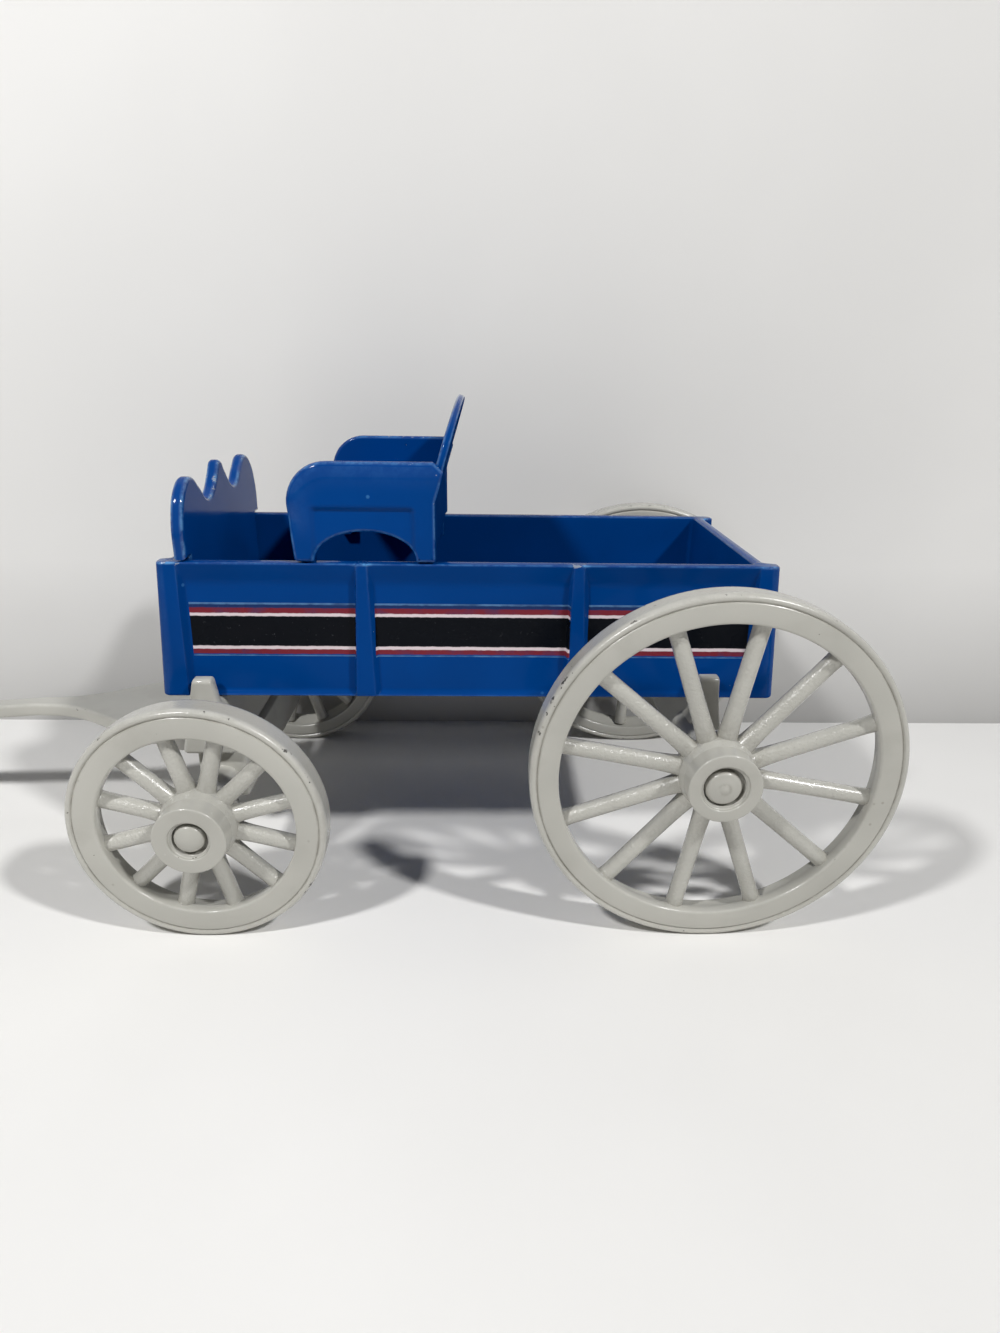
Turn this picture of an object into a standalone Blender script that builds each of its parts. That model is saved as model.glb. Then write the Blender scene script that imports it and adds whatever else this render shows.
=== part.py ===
"""Toy buckboard wagon.

A die-cast toy wagon in its own frame: metres, +Z up, the ground at z = 0, facing -X.
The driver's left is -Y. The origin is the middle of the wagon's footprint.
"""
import math

import bmesh
import bpy
from mathutils import Euler, Matrix, Vector

MM = 0.001

# Running gear
REAR_WHEEL_DIAMETER = 76.2 * MM
FRONT_WHEEL_DIAMETER = 52.4 * MM
WHEELBASE = 105.2 * MM
RIM_FACE_SPREAD = 103.0 * MM
RIM_WIDTH = 6.5 * MM
REAR_RIM_DEPTH = 5.9 * MM
FRONT_RIM_DEPTH = 6.2 * MM
BEAD_DEPTH = 1.3 * MM
GROOVE_WIDTH = 0.5 * MM
GROOVE_DEPTH = 0.35 * MM
SPOKE_COUNT = 12
SPOKE_FIRST_ANGLE = 15.0
REST_TURN = {"front_left": 0.0, "rear_left": 4.6, "front_right": 3.0, "rear_right": 11.0}
SPOKE_RIM_RADIUS = 1.7 * MM
SPOKE_HUB_RADIUS = 1.78 * MM
SPOKE_ROOT = 1.0 * MM
HUB_RADIUS = 7.35 * MM
HUB_WAIST_RADIUS = 6.4 * MM
HUB_STANDOUT = 4.5 * MM
HUB_LENGTH = 14.4 * MM
HUB_SPOKE_BELT = 8.0 * MM
REAR_RECESS_RADIUS = 4.8 * MM
FRONT_RECESS_RADIUS = 4.2 * MM
RECESS_DEPTH = 2.2 * MM

# Axles and what holds the wheels on them
AXLE_RADIUS = 1.6 * MM
AXLE_BOSS_RADIUS = 4.2 * MM
WASHER_RADIUS = 4.6 * MM
WASHER_THICKNESS = 0.8 * MM
REAR_CAP_RADIUS = 3.65 * MM
FRONT_CAP_RADIUS = 3.1 * MM
CAP_EDGE = 0.7 * MM
CAP_DOME = 1.5 * MM
CAP_SOCKET = 1.2 * MM

# Bed
DECK_HEIGHT = 46.8 * MM
BED_LENGTH = 130.2 * MM
BED_WIDTH = 59.2 * MM
BED_HEIGHT = 29.2 * MM
BED_DRAFT = 1.4 * MM
BED_REAR_OVERHANG = 15.0 * MM
SIDE_WALL = 2.8 * MM
TAILGATE_WALL = 2.5 * MM
FRONT_WALL = 1.3 * MM
FLOOR_THICKNESS = 2.6 * MM
CAVITY_DRAFT = 0.4 * MM
TAILGATE_INSET = 2.7 * MM
FRONT_INSET = 2.0 * MM
POST_WIDTH = 4.4 * MM
POST_ROUND = 1.8 * MM
RIB_SPACING = 45.2 * MM
RIB_TOP_WIDTH = 2.2 * MM
RIB_FOOT_WIDTH = 4.2 * MM
PANEL_DEPTH = 1.2 * MM
PANEL_FLANK = 2.4 * MM
RIM_LIP = 4.6 * MM
RIM_SLOPE = 4.5 * MM
SILL_LIP = 1.0 * MM
CAST_EDGE = 0.5 * MM
DASH_EDGE = 0.9 * MM

# Footboard
DASH_THICKNESS = 2.7 * MM
DASH_MIDDLE_HUMP = 17.2 * MM
DASH_MIDDLE_HALF_WIDTH = 3.3 * MM
DASH_OUTER_HUMP = 16.1 * MM
DASH_OUTER_HUMP_AT = 20.2 * MM
DASH_OUTER_HALF_WIDTH = 4.4 * MM
DASH_VALLEY = 10.2 * MM
DASH_VALLEY_AT = 10.8 * MM
DASH_SIDE_MARGIN = 0.3 * MM
DASH_FOOTING = 0.6 * MM

# Seat
SEAT_FRONT_FROM_REAR_AXLE = 87.4 * MM
SEAT_DEPTH = 30.2 * MM
SEAT_WIDTH = 59.8 * MM
SEAT_PANEL = 2.6 * MM
ARM_HEIGHT = 20.2 * MM
ARM_CORNER_RADIUS = 8.4 * MM
FOOT_TAPER = 1.1 * MM
FRONT_FOOT = 4.0 * MM
REAR_FOOT = 4.1 * MM
ARCH_HEIGHT = 6.2 * MM
LEG_RECESS = 0.7 * MM
PLANK_TOP = 12.3 * MM
PLANK_THICKNESS = 2.6 * MM
REAR_PANEL = 2.0 * MM
BACK_THICKNESS = 1.7 * MM
BACK_RISE = 31.8 * MM
BACK_LEAN = 16.5
SEAT_TAB_DEPTH = 5.0 * MM
SEAT_TAB_THICKNESS = 2.0 * MM

# Bolsters and their stakes
BOLSTER_SPAN = 67.4 * MM
STAKE_THICKNESS = 2.6 * MM
FRONT_STAKE_RISE = 4.8 * MM
REAR_STAKE_RISE = 5.9 * MM
FRONT_STAKE_TOP = 4.1 * MM
REAR_STAKE_TOP = 5.2 * MM
FRONT_BEAM_FOOT = 12.0 * MM
REAR_BEAM_FOOT = 10.6 * MM
FRONT_BEAM_AHEAD = 1.8 * MM
REAR_BEAM_BEHIND = 1.3 * MM
REAR_BEAM_BELOW_AXLE = 3.9 * MM
FLANGE_THICKNESS = 2.2 * MM
FLANGE_REACH = 13.4 * MM
FLANGE_WIDTH = 38.0 * MM
SCREW_FROM_BEAM = 9.4 * MM
SCREW_SPACING = 28.0 * MM
SCREW_RADIUS = 1.4 * MM
SCREW_HEAD_RADIUS = 2.5 * MM
SCREW_HEAD = 1.5 * MM
SCREW_BITE = 1.6 * MM

# Turning block under the front bolster
BLOCK_LENGTH = 10.8 * MM
BLOCK_WIDTH = 63.0 * MM
BLOCK_BELOW_AXLE = 3.7 * MM
TURNTABLE_ABOVE_AXLE = 7.6 * MM
WEB_THICKNESS = 3.3 * MM
POCKET_RADIUS = 4.3 * MM
KINGPIN_RADIUS = 1.8 * MM
KINGPIN_HEAD_RADIUS = 3.4 * MM
KINGPIN_HEAD = 1.1 * MM
KINGPIN_BITE = 8.0 * MM
KINGPIN_WASHER = 0.5 * MM
KINGPIN_WASHER_RADIUS = 3.8 * MM

# Tongue and its hinge
HITCH_REACH = 12.6 * MM
HITCH_ABOVE_AXLE = 4.6 * MM
KNUCKLE_RADIUS = 2.6 * MM
KNUCKLE_LENGTH = 6.0 * MM
LUG_START = 7.6 * MM
HITCH_PIN_RADIUS = 1.1 * MM
HITCH_PIN_HEAD_RADIUS = 2.0 * MM
HITCH_PIN_HEAD = 0.8 * MM
STOP_LIP = 1.4 * MM
STOP_REACH = 8.0 * MM
TONGUE_LENGTH = 98.0 * MM
TONGUE_THICKNESS = 3.4 * MM
POLE_WIDTH = 5.2 * MM
PLATE_HALF_WAY = 12.4 * MM
PLATE_NECK_AT = 34.0 * MM
POLE_START = 43.0 * MM
POLE_DROOP = 4.5

# Clearances
GAP = 0.3 * MM
SLACK = 1.0 * MM

# Facets
RIM_SEGMENTS = 48
HUB_SEGMENTS = 24
SPOKE_SIDES = 8
PIN_SEGMENTS = 20

BLUE = ((0.004, 0.045, 0.210, 1.0), 0.16, 0.0)
OFF_WHITE = ((0.560, 0.540, 0.500, 1.0), 0.32, 0.0)
STEEL = ((0.420, 0.410, 0.390, 1.0), 0.38, 1.0)

# Places that follow from the sizes
REAR_WHEEL_RADIUS = REAR_WHEEL_DIAMETER / 2
FRONT_WHEEL_RADIUS = FRONT_WHEEL_DIAMETER / 2
REAR_AXLE_X = (WHEELBASE + HITCH_REACH + TONGUE_LENGTH - REAR_WHEEL_RADIUS) / 2
KINGPIN_X = REAR_AXLE_X - WHEELBASE
HITCH_X = KINGPIN_X - HITCH_REACH
TURNTABLE_HEIGHT = FRONT_WHEEL_RADIUS + TURNTABLE_ABOVE_AXLE
HITCH_HEIGHT = FRONT_WHEEL_RADIUS + HITCH_ABOVE_AXLE
RIM_FACE_Y = RIM_FACE_SPREAD / 2
RIM_MIDDLE_Y = RIM_FACE_Y - RIM_WIDTH / 2
HUB_FACE_Y = RIM_FACE_Y + HUB_STANDOUT
HUB_INNER_Y = HUB_FACE_Y - HUB_LENGTH
WASHER_OUTER_Y = HUB_INNER_Y - GAP
BOSS_END_Y = WASHER_OUTER_Y - WASHER_THICKNESS - GAP
CAP_SEAT_Y = HUB_FACE_Y - RECESS_DEPTH + GAP
ROD_END_Y = CAP_SEAT_Y + CAP_SOCKET - GAP
AXLE_BORE_RADIUS = AXLE_RADIUS + GAP
FRONT_BEAM_X = KINGPIN_X - FRONT_BEAM_AHEAD
REAR_BEAM_X = REAR_AXLE_X + REAR_BEAM_BEHIND
BED_TOP = DECK_HEIGHT + BED_HEIGHT
BED_REAR_X = REAR_AXLE_X + BED_REAR_OVERHANG
BED_FRONT_X = BED_REAR_X - BED_LENGTH
BED_MIDDLE_X = (BED_FRONT_X + BED_REAR_X) / 2
FLOOR_TOP = DECK_HEIGHT + FLOOR_THICKNESS
CAVITY_FRONT_X = BED_FRONT_X + FRONT_INSET + FRONT_WALL
CAVITY_REAR_X = BED_REAR_X - TAILGATE_INSET - TAILGATE_WALL
CAVITY_HALF_WIDTH = BED_WIDTH / 2 - SIDE_WALL
DASH_FRONT_X = CAVITY_FRONT_X + CAVITY_DRAFT + GAP
DASH_REAR_X = DASH_FRONT_X + DASH_THICKNESS
BOLSTER_TOP = DECK_HEIGHT - GAP
SEAT_FRONT_X = REAR_AXLE_X - SEAT_FRONT_FROM_REAR_AXLE
SEAT_REAR_X = SEAT_FRONT_X + SEAT_DEPTH
SEAT_BASE = BED_TOP + GAP


def clear_scene():
    """Start from an empty scene."""
    for item in list(bpy.data.objects):
        bpy.data.objects.remove(item, do_unlink=True)


def new_collection(name):
    """Add a collection to the scene."""
    collection = bpy.data.collections.new(name)
    bpy.context.scene.collection.children.link(collection)
    return collection


def new_material(name, look):
    """Principled material from a colour, a roughness and a metallic value."""
    colour, roughness, metallic = look
    material = bpy.data.materials.new(name)
    material.use_nodes = True
    shader = material.node_tree.nodes["Principled BSDF"]
    shader.inputs["Base Color"].default_value = colour
    shader.inputs["Roughness"].default_value = roughness
    shader.inputs["Metallic"].default_value = metallic
    material.diffuse_color = colour
    return material


clear_scene()
PARTS = new_collection("toy_buckboard_wagon")
CUTTERS = new_collection("cutters")


def add_object(name, mesh, collection=None):
    """Put a mesh into the scene as a part, or as a helper shape when no collection is named."""
    obj = bpy.data.objects.new(name, mesh)
    (collection or CUTTERS).objects.link(obj)
    if collection is None:
        obj.hide_render = True
        obj.display_type = "WIRE"
    return obj


def mesh_from(name, bm):
    """Close a bmesh into a mesh whose faces point out."""
    bmesh.ops.recalc_face_normals(bm, faces=bm.faces)
    mesh = bpy.data.meshes.new(name)
    bm.to_mesh(mesh)
    bm.free()
    return mesh


def shaped_block(name, corner):
    """Six-sided block; corner(front, left, low) gives each corner from three yes-or-no answers."""
    bm = bmesh.new()
    bmesh.ops.create_cube(bm, size=2.0)
    for vert in bm.verts:
        vert.co = Vector(corner(vert.co.x < 0, vert.co.y < 0, vert.co.z < 0))
    return add_object(name, mesh_from(name, bm))


def block(name, x_range, y_range, z_range):
    """Plain block between the given limits."""

    def corner(front, left, low):
        return (x_range[0 if front else 1], y_range[0 if left else 1], z_range[0 if low else 1])

    return shaped_block(name, corner)


def rod(name, radius, start, end, segments=PIN_SEGMENTS):
    """Round bar between two points, with a facet corner straight down on level bars."""
    start = Vector(start)
    end = Vector(end)
    along = end - start
    bm = bmesh.new()
    bmesh.ops.create_cone(bm, cap_ends=True, segments=segments, radius1=radius, radius2=radius,
                          depth=along.length)
    turn = along.to_track_quat("Z", "Y").to_matrix().to_4x4()
    bmesh.ops.transform(bm, matrix=Matrix.Translation((start + end) / 2) @ turn, verts=bm.verts)
    return add_object(name, mesh_from(name, bm))


def turned(name, profile, segments):
    """Solid of revolution about local Z from a closed profile of (radius, height) points.

    The profile runs down its outer side and up its inner side. Points on the axis share one pole.
    """
    mesh = bpy.data.meshes.new(name)
    points = [(radius, 0.0, height) for radius, height in profile]
    edges = [(i, (i + 1) % len(points)) for i in range(len(points))]
    on_axis = [i for i, point in enumerate(points) if point[0] == 0.0]
    if on_axis:
        edges = [edge for edge in edges if not (edge[0] in on_axis and edge[1] in on_axis)]
    mesh.from_pydata(points, edges, [])
    obj = add_object(name, mesh)
    screw = obj.modifiers.new("turn", "SCREW")
    screw.axis = "Z"
    screw.steps = segments
    screw.render_steps = segments
    screw.use_merge_vertices = True
    screw.merge_threshold = 0.00002
    screw.use_smooth_shade = False
    return obj


def outline_mesh(name, points, thickness, placement):
    """Flat plate from a closed outline.

    Each point is (u, v, smooth): a smooth point gets an automatic handle, a plain one a corner.
    The plate is half its thickness to each side of the outline's plane.
    """
    curve = bpy.data.curves.new(name, "CURVE")
    curve.dimensions = "2D"
    curve.fill_mode = "BOTH"
    curve.extrude = thickness / 2
    curve.resolution_u = 5
    spline = curve.splines.new("BEZIER")
    spline.bezier_points.add(len(points) - 1)
    spline.use_cyclic_u = True
    for knot, (u, v, smooth) in zip(spline.bezier_points, points):
        knot.co = (u, v, 0.0)
        knot.handle_left_type = knot.handle_right_type = "AUTO" if smooth else "VECTOR"
    obj = bpy.data.objects.new(name, curve)
    obj.matrix_world = placement
    CUTTERS.objects.link(obj)
    return curve_to_mesh(obj)


def curve_to_mesh(obj):
    """Replace a curve object by a welded mesh object of the same name and place."""
    bpy.context.view_layer.update()
    evaluated = obj.evaluated_get(bpy.context.evaluated_depsgraph_get())
    mesh = bpy.data.meshes.new_from_object(evaluated)
    bm = bmesh.new()
    bm.from_mesh(mesh)
    bmesh.ops.remove_doubles(bm, verts=bm.verts, dist=0.00002)
    bmesh.ops.dissolve_limit(bm, angle_limit=math.radians(0.5), verts=bm.verts, edges=bm.edges)
    bmesh.ops.recalc_face_normals(bm, faces=bm.faces)
    bm.to_mesh(mesh)
    bm.free()
    name = obj.name
    place = obj.matrix_world.copy()
    bpy.data.objects.remove(obj, do_unlink=True)
    solid = add_object(name, mesh)
    solid.matrix_world = place
    return solid


def standing_across(x):
    """Placement of an outline that stands across the wagon: u is +Y, v is +Z, thickness along X."""
    turn = Euler((math.radians(90), 0, math.radians(90))).to_matrix().to_4x4()
    return Matrix.Translation((x, 0, 0)) @ turn


def standing_along(y):
    """Placement of an outline that stands along the wagon: u is +X, v is +Z, thickness along Y."""
    turn = Euler((math.radians(90), 0, 0)).to_matrix().to_4x4()
    return Matrix.Translation((0, y, 0)) @ turn


def lying(z):
    """Placement of an outline that lies level: u is +X, v is +Y."""
    return Matrix.Translation((0, 0, z))


def soften(obj, width, segments=2, angle=35.0):
    """Round the edges of an object."""
    bevel = obj.modifiers.new("edge", "BEVEL")
    bevel.width = width
    bevel.segments = segments
    bevel.limit_method = "ANGLE"
    bevel.angle_limit = math.radians(angle)
    return obj


def round_uprights(obj, radius):
    """Round the upright edges of a block."""
    bm = bmesh.new()
    bm.from_mesh(obj.data)
    upright = [e for e in bm.edges if abs(e.verts[0].co.z - e.verts[1].co.z) > 0.8 * e.calc_length()]
    bmesh.ops.bevel(bm, geom=upright, offset=radius, offset_type="OFFSET", segments=3, profile=0.5,
                    affect="EDGES")
    bm.to_mesh(obj.data)
    bm.free()
    return obj


def combine(obj, operation, tools):
    """Join tools to an object, or cut them out of it."""
    for tool in tools:
        step = obj.modifiers.new(tool.name, "BOOLEAN")
        step.operation = operation
        step.solver = "EXACT"
        step.object = tool
    return obj


def join(obj, *tools):
    """Boolean union."""
    return combine(obj, "UNION", tools)


def cut(obj, *tools):
    """Boolean difference."""
    return combine(obj, "DIFFERENCE", tools)


def as_part(obj, name, material, pivot=None):
    """Turn a helper shape into a finished part with its own material and, when moved, its own pivot."""
    bpy.context.view_layer.update()
    evaluated = obj.evaluated_get(bpy.context.evaluated_depsgraph_get())
    mesh = bpy.data.meshes.new_from_object(evaluated)
    mesh.transform(obj.matrix_world)
    mesh.name = name
    mesh.materials.clear()
    mesh.materials.append(material)
    part = add_object(name, mesh, PARTS)
    if pivot is not None:
        mesh.transform(Matrix.Translation(-Vector(pivot)))
        part.location = pivot
    mesh.shade_smooth()
    mesh.set_sharp_from_angle(angle=math.radians(32))
    bpy.data.objects.remove(obj, do_unlink=True)
    return part


def lean(z, depth=0.0):
    """How far the bed's outer faces have moved out at a height, less a depth into the wall."""
    return BED_DRAFT * (BED_TOP - z) / BED_HEIGHT - depth


def bed_side_y(z, depth=0.0):
    """Half width of the bed's sides at a height."""
    return BED_WIDTH / 2 + lean(z, depth)


def side_panel(name, side, x_front, x_rear, taper_front, taper_rear):
    """Cutter for one sunk panel of a side wall, between two ribs that widen downwards.

    The panel runs out gently under the rim, so its flanks narrow to nothing there.
    """
    top = BED_TOP - RIM_LIP
    foot = DECK_HEIGHT + SILL_LIP

    def corner(front, left, low):
        z = foot if low else top
        outside = left == (side < 0)
        x = x_front if front else x_rear
        if low:
            x += taper_front if front else -taper_rear
        depth = -SLACK if outside else PANEL_DEPTH
        flank = PANEL_FLANK * (PANEL_DEPTH - depth) / PANEL_DEPTH
        x += -flank if front else flank
        z += -flank / 2 if low else flank * RIM_SLOPE / PANEL_FLANK
        return (x, side * bed_side_y(z, depth), z)

    return shaped_block(name, corner)


def end_panel(name, x_face, inward, inset):
    """Cutter that sets an end wall back between the corner posts."""
    x_cut = x_face + inward * inset

    def corner(front, left, low):
        z = DECK_HEIGHT - SLACK if low else BED_TOP + SLACK
        outer = front == (inward > 0)
        half = bed_side_y(z) - POST_WIDTH + (inset / 2 if outer else 0.0)
        reach = -(lean(z) + SLACK) if outer else -lean(z)
        x = (x_face if outer else x_cut) + inward * reach
        return (x, -half if left else half, z)

    return shaped_block(name, corner)


def cargo_space():
    """Cutter for the inside of the bed: walls that open upwards, and a lowered strip for the footboard."""

    def tight(z):
        return CAVITY_DRAFT * (BED_TOP - z) / BED_HEIGHT

    top = BED_TOP + SLACK
    strip = FLOOR_TOP - DASH_FOOTING
    profile = [
        (CAVITY_FRONT_X + tight(top), top), (CAVITY_FRONT_X + tight(strip), strip),
        (DASH_REAR_X + GAP, strip), (DASH_REAR_X + GAP, FLOOR_TOP),
        (CAVITY_REAR_X - tight(FLOOR_TOP), FLOOR_TOP), (CAVITY_REAR_X - tight(top), top),
    ]
    bm = bmesh.new()
    left, right = [[bm.verts.new((x, side * (CAVITY_HALF_WIDTH - tight(z)), z)) for x, z in profile]
                   for side in (-1, 1)]
    bm.faces.new(left)
    bm.faces.new(right)
    for index in range(len(profile)):
        bm.faces.new((left[index], left[index - 1], right[index - 1], right[index]))
    return add_object("cargo_space", mesh_from("cargo_space", bm))


def wagon_bed(material):
    """Open box with drafted walls, ribs, corner posts, rim lip and sill."""

    def corner(front, left, low):
        z = DECK_HEIGHT if low else BED_TOP
        x = BED_FRONT_X - lean(z) if front else BED_REAR_X + lean(z)
        y = bed_side_y(z)
        return (x, -y if left else y, z)

    bed = soften(round_uprights(shaped_block("bed_blank", corner), POST_ROUND), CAST_EDGE)
    rib_half_top = RIB_TOP_WIDTH / 2
    rib_widening = (RIB_FOOT_WIDTH - RIB_TOP_WIDTH) / 2
    rib_front = BED_MIDDLE_X - RIB_SPACING / 2
    rib_rear = BED_MIDDLE_X + RIB_SPACING / 2
    margin = PANEL_FLANK + rib_half_top
    panels = (
        ("front", BED_FRONT_X + POST_WIDTH + PANEL_FLANK, rib_front - margin, 0.0, rib_widening),
        ("middle", rib_front + margin, rib_rear - margin, rib_widening, rib_widening),
        ("rear", rib_rear + margin, BED_REAR_X - POST_WIDTH - PANEL_FLANK, rib_widening, 0.0),
    )
    for side in (-1, 1):
        for label, x_front, x_rear, taper_front, taper_rear in panels:
            name = "panel_%s_%s" % (label, "left" if side < 0 else "right")
            panel = side_panel(name, side, x_front, x_rear, taper_front, taper_rear)
            cut(bed, soften(panel, CAST_EDGE, segments=1))
    cut(bed, end_panel("tailgate_inset", BED_REAR_X, -1, TAILGATE_INSET))
    cut(bed, end_panel("front_inset", BED_FRONT_X, 1, FRONT_INSET))
    cut(bed, cargo_space())
    for place in screw_places():
        bite = (place[0], place[1], DECK_HEIGHT - SLACK)
        tip = (place[0], place[1], DECK_HEIGHT + SCREW_BITE + GAP)
        cut(bed, rod("screw_socket", SCREW_RADIUS + GAP, bite, tip, segments=12))
    return as_part(bed, "wagon_bed", material)


def dash_board(material):
    """Footboard: three humps above the rim, and a plain foot that stands in the floor's lowered strip."""
    x = (DASH_FRONT_X + DASH_REAR_X) / 2
    half = BED_WIDTH / 2 - DASH_SIDE_MARGIN
    foot_half = CAVITY_HALF_WIDTH - CAVITY_DRAFT - GAP
    shoulder = BED_TOP + GAP
    right = [
        (DASH_MIDDLE_HALF_WIDTH, BED_TOP + 0.84 * DASH_MIDDLE_HUMP, True),
        (2 * DASH_MIDDLE_HALF_WIDTH, BED_TOP + 1.12 * DASH_VALLEY, True),
        (DASH_VALLEY_AT, BED_TOP + DASH_VALLEY, True),
        (DASH_OUTER_HUMP_AT - DASH_OUTER_HALF_WIDTH, BED_TOP + 0.84 * DASH_OUTER_HUMP, True),
        (DASH_OUTER_HUMP_AT, BED_TOP + DASH_OUTER_HUMP, True),
        (DASH_OUTER_HUMP_AT + 1.1 * DASH_OUTER_HALF_WIDTH, BED_TOP + 0.9 * DASH_OUTER_HUMP, True),
        (half - CAST_EDGE, BED_TOP + DASH_OUTER_HUMP / 2, True),
        (half, shoulder, False),
        (foot_half, shoulder, False),
        (foot_half, FLOOR_TOP - DASH_FOOTING + GAP, False),
    ]
    left = [(-u, v, smooth) for u, v, smooth in reversed(right)]
    outline = [(0.0, BED_TOP + DASH_MIDDLE_HUMP, True)] + right + left
    board = outline_mesh("dash_blank", outline, DASH_THICKNESS, standing_across(x))
    return as_part(soften(board, DASH_EDGE), "dash_board", material)


def seat_panel_outline():
    """Side of the seat: arm with a round front corner, two feet, and an arch between them."""
    top = SEAT_BASE + ARM_HEIGHT
    front_foot = SEAT_FRONT_X + FOOT_TAPER
    arch_front = front_foot + FRONT_FOOT
    arch_rear = SEAT_REAR_X - REAR_FOOT
    bend = SEAT_BASE + PLANK_TOP
    lean_run = math.tan(math.radians(BACK_LEAN)) * (top - bend)
    points = [(SEAT_REAR_X, SEAT_BASE, False), (SEAT_REAR_X, bend, False)]
    points.append((SEAT_REAR_X + lean_run * 0.75, bend + (top - bend) * 0.75, False))
    points.append((SEAT_REAR_X - 0.4 * MM, top, False))
    for step in range(6):
        angle = math.radians(90 + 18 * step)
        u = SEAT_FRONT_X + ARM_CORNER_RADIUS * (1 + math.cos(angle))
        v = top - ARM_CORNER_RADIUS * (1 - math.sin(angle))
        points.append((u, v, False))
    points.append((front_foot, SEAT_BASE, False))
    arch_middle = (arch_front + arch_rear) / 2
    arch_half = (arch_rear - arch_front) / 2
    for step in range(13):
        angle = math.radians(180 - 15 * step)
        u = arch_middle + arch_half * math.cos(angle)
        points.append((u, SEAT_BASE + ARCH_HEIGHT * math.sin(angle), False))
    return points


def seat_casting(material):
    """Seat: two side panels, plank, rear panel and a leaning back with an arched top."""
    panel_y = SEAT_WIDTH / 2 - SEAT_PANEL / 2
    inner = SEAT_WIDTH / 2 - SEAT_PANEL
    sunk = SEAT_PANEL / 2
    sides = []
    for side in (-1, 1):
        panel = outline_mesh("seat_side", seat_panel_outline(), SEAT_PANEL, standing_along(side * panel_y))
        soften(panel, CAST_EDGE, segments=1)
        sides.append(panel)
    seat = sides[0]
    join(seat, sides[1])

    plank_z = SEAT_BASE + PLANK_TOP
    plank = block("plank", (SEAT_FRONT_X + FOOT_TAPER, SEAT_REAR_X - REAR_PANEL / 2),
                  (-inner - sunk, inner + sunk), (plank_z - PLANK_THICKNESS, plank_z))
    join(seat, soften(plank, CAST_EDGE))
    rear_x = SEAT_REAR_X - GAP
    rear = block("rear_panel", (rear_x - REAR_PANEL, rear_x), (-inner - sunk, inner + sunk),
                 (SEAT_BASE + GAP, plank_z + PLANK_THICKNESS))
    join(seat, rear)

    crest = BACK_RISE - PLANK_TOP
    shoulder = ARM_HEIGHT - PLANK_TOP - GAP
    half = inner + sunk * 0.8
    slope = 1 / math.cos(math.radians(BACK_LEAN))
    outline = [(half, -PLANK_THICKNESS, False), (half, shoulder * slope, False)]
    for step in range(1, 12):
        angle = math.radians(15 * step)
        rise = (crest - shoulder) * math.sin(angle) ** 0.8
        outline.append((half * math.cos(angle), (shoulder + rise) * slope, False))
    outline += [(-half, shoulder * slope, False), (-half, -PLANK_THICKNESS, False)]
    hinge = Matrix.Translation((rear_x - BACK_THICKNESS / 2, 0, plank_z))
    tilt = Euler((0, math.radians(BACK_LEAN), 0)).to_matrix().to_4x4()
    back = outline_mesh("seat_back", outline, BACK_THICKNESS, hinge @ tilt @ standing_across(0))
    join(seat, soften(back, CAST_EDGE))

    tab_outer = CAVITY_HALF_WIDTH - CAVITY_DRAFT - GAP
    feet = (
        (SEAT_FRONT_X + FOOT_TAPER + CAST_EDGE, SEAT_FRONT_X + FOOT_TAPER + FRONT_FOOT - CAST_EDGE),
        (SEAT_REAR_X - REAR_FOOT + CAST_EDGE, SEAT_REAR_X - CAST_EDGE - GAP),
    )
    for side in (-1, 1):
        for x_range in feet:
            tab_y = sorted((side * tab_outer, side * (tab_outer - SEAT_TAB_THICKNESS)))
            drop = block("seat_tab", x_range, tab_y, (BED_TOP - SEAT_TAB_DEPTH, SEAT_BASE + ARCH_HEIGHT))
            bridge_y = sorted((side * (tab_outer - SEAT_TAB_THICKNESS / 2), side * (inner + sunk)))
            bridge = block("tab_bridge", x_range, bridge_y,
                           (SEAT_BASE + GAP, SEAT_BASE + ARCH_HEIGHT - GAP))
            join(seat, drop, bridge)
        recess_y = sorted((side * (SEAT_WIDTH / 2 - LEG_RECESS), side * (SEAT_WIDTH / 2 + SLACK)))
        recess = block("leg_recess",
                       (SEAT_FRONT_X + FOOT_TAPER + FRONT_FOOT - LEG_RECESS, SEAT_REAR_X - REAR_FOOT),
                       recess_y, (SEAT_BASE - SLACK, SEAT_BASE + PLANK_TOP - 1.2 * MM))
        cut(seat, recess)
    return as_part(seat, "seat_casting", material)


def screw_places():
    """Where the bolster screws stand: a pair beside each beam, on the side towards the wagon's middle."""
    places = []
    for x in (FRONT_BEAM_X + SCREW_FROM_BEAM, REAR_BEAM_X - SCREW_FROM_BEAM):
        for side in (-1, 1):
            places.append((x, side * SCREW_SPACING / 2))
    return places


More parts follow.
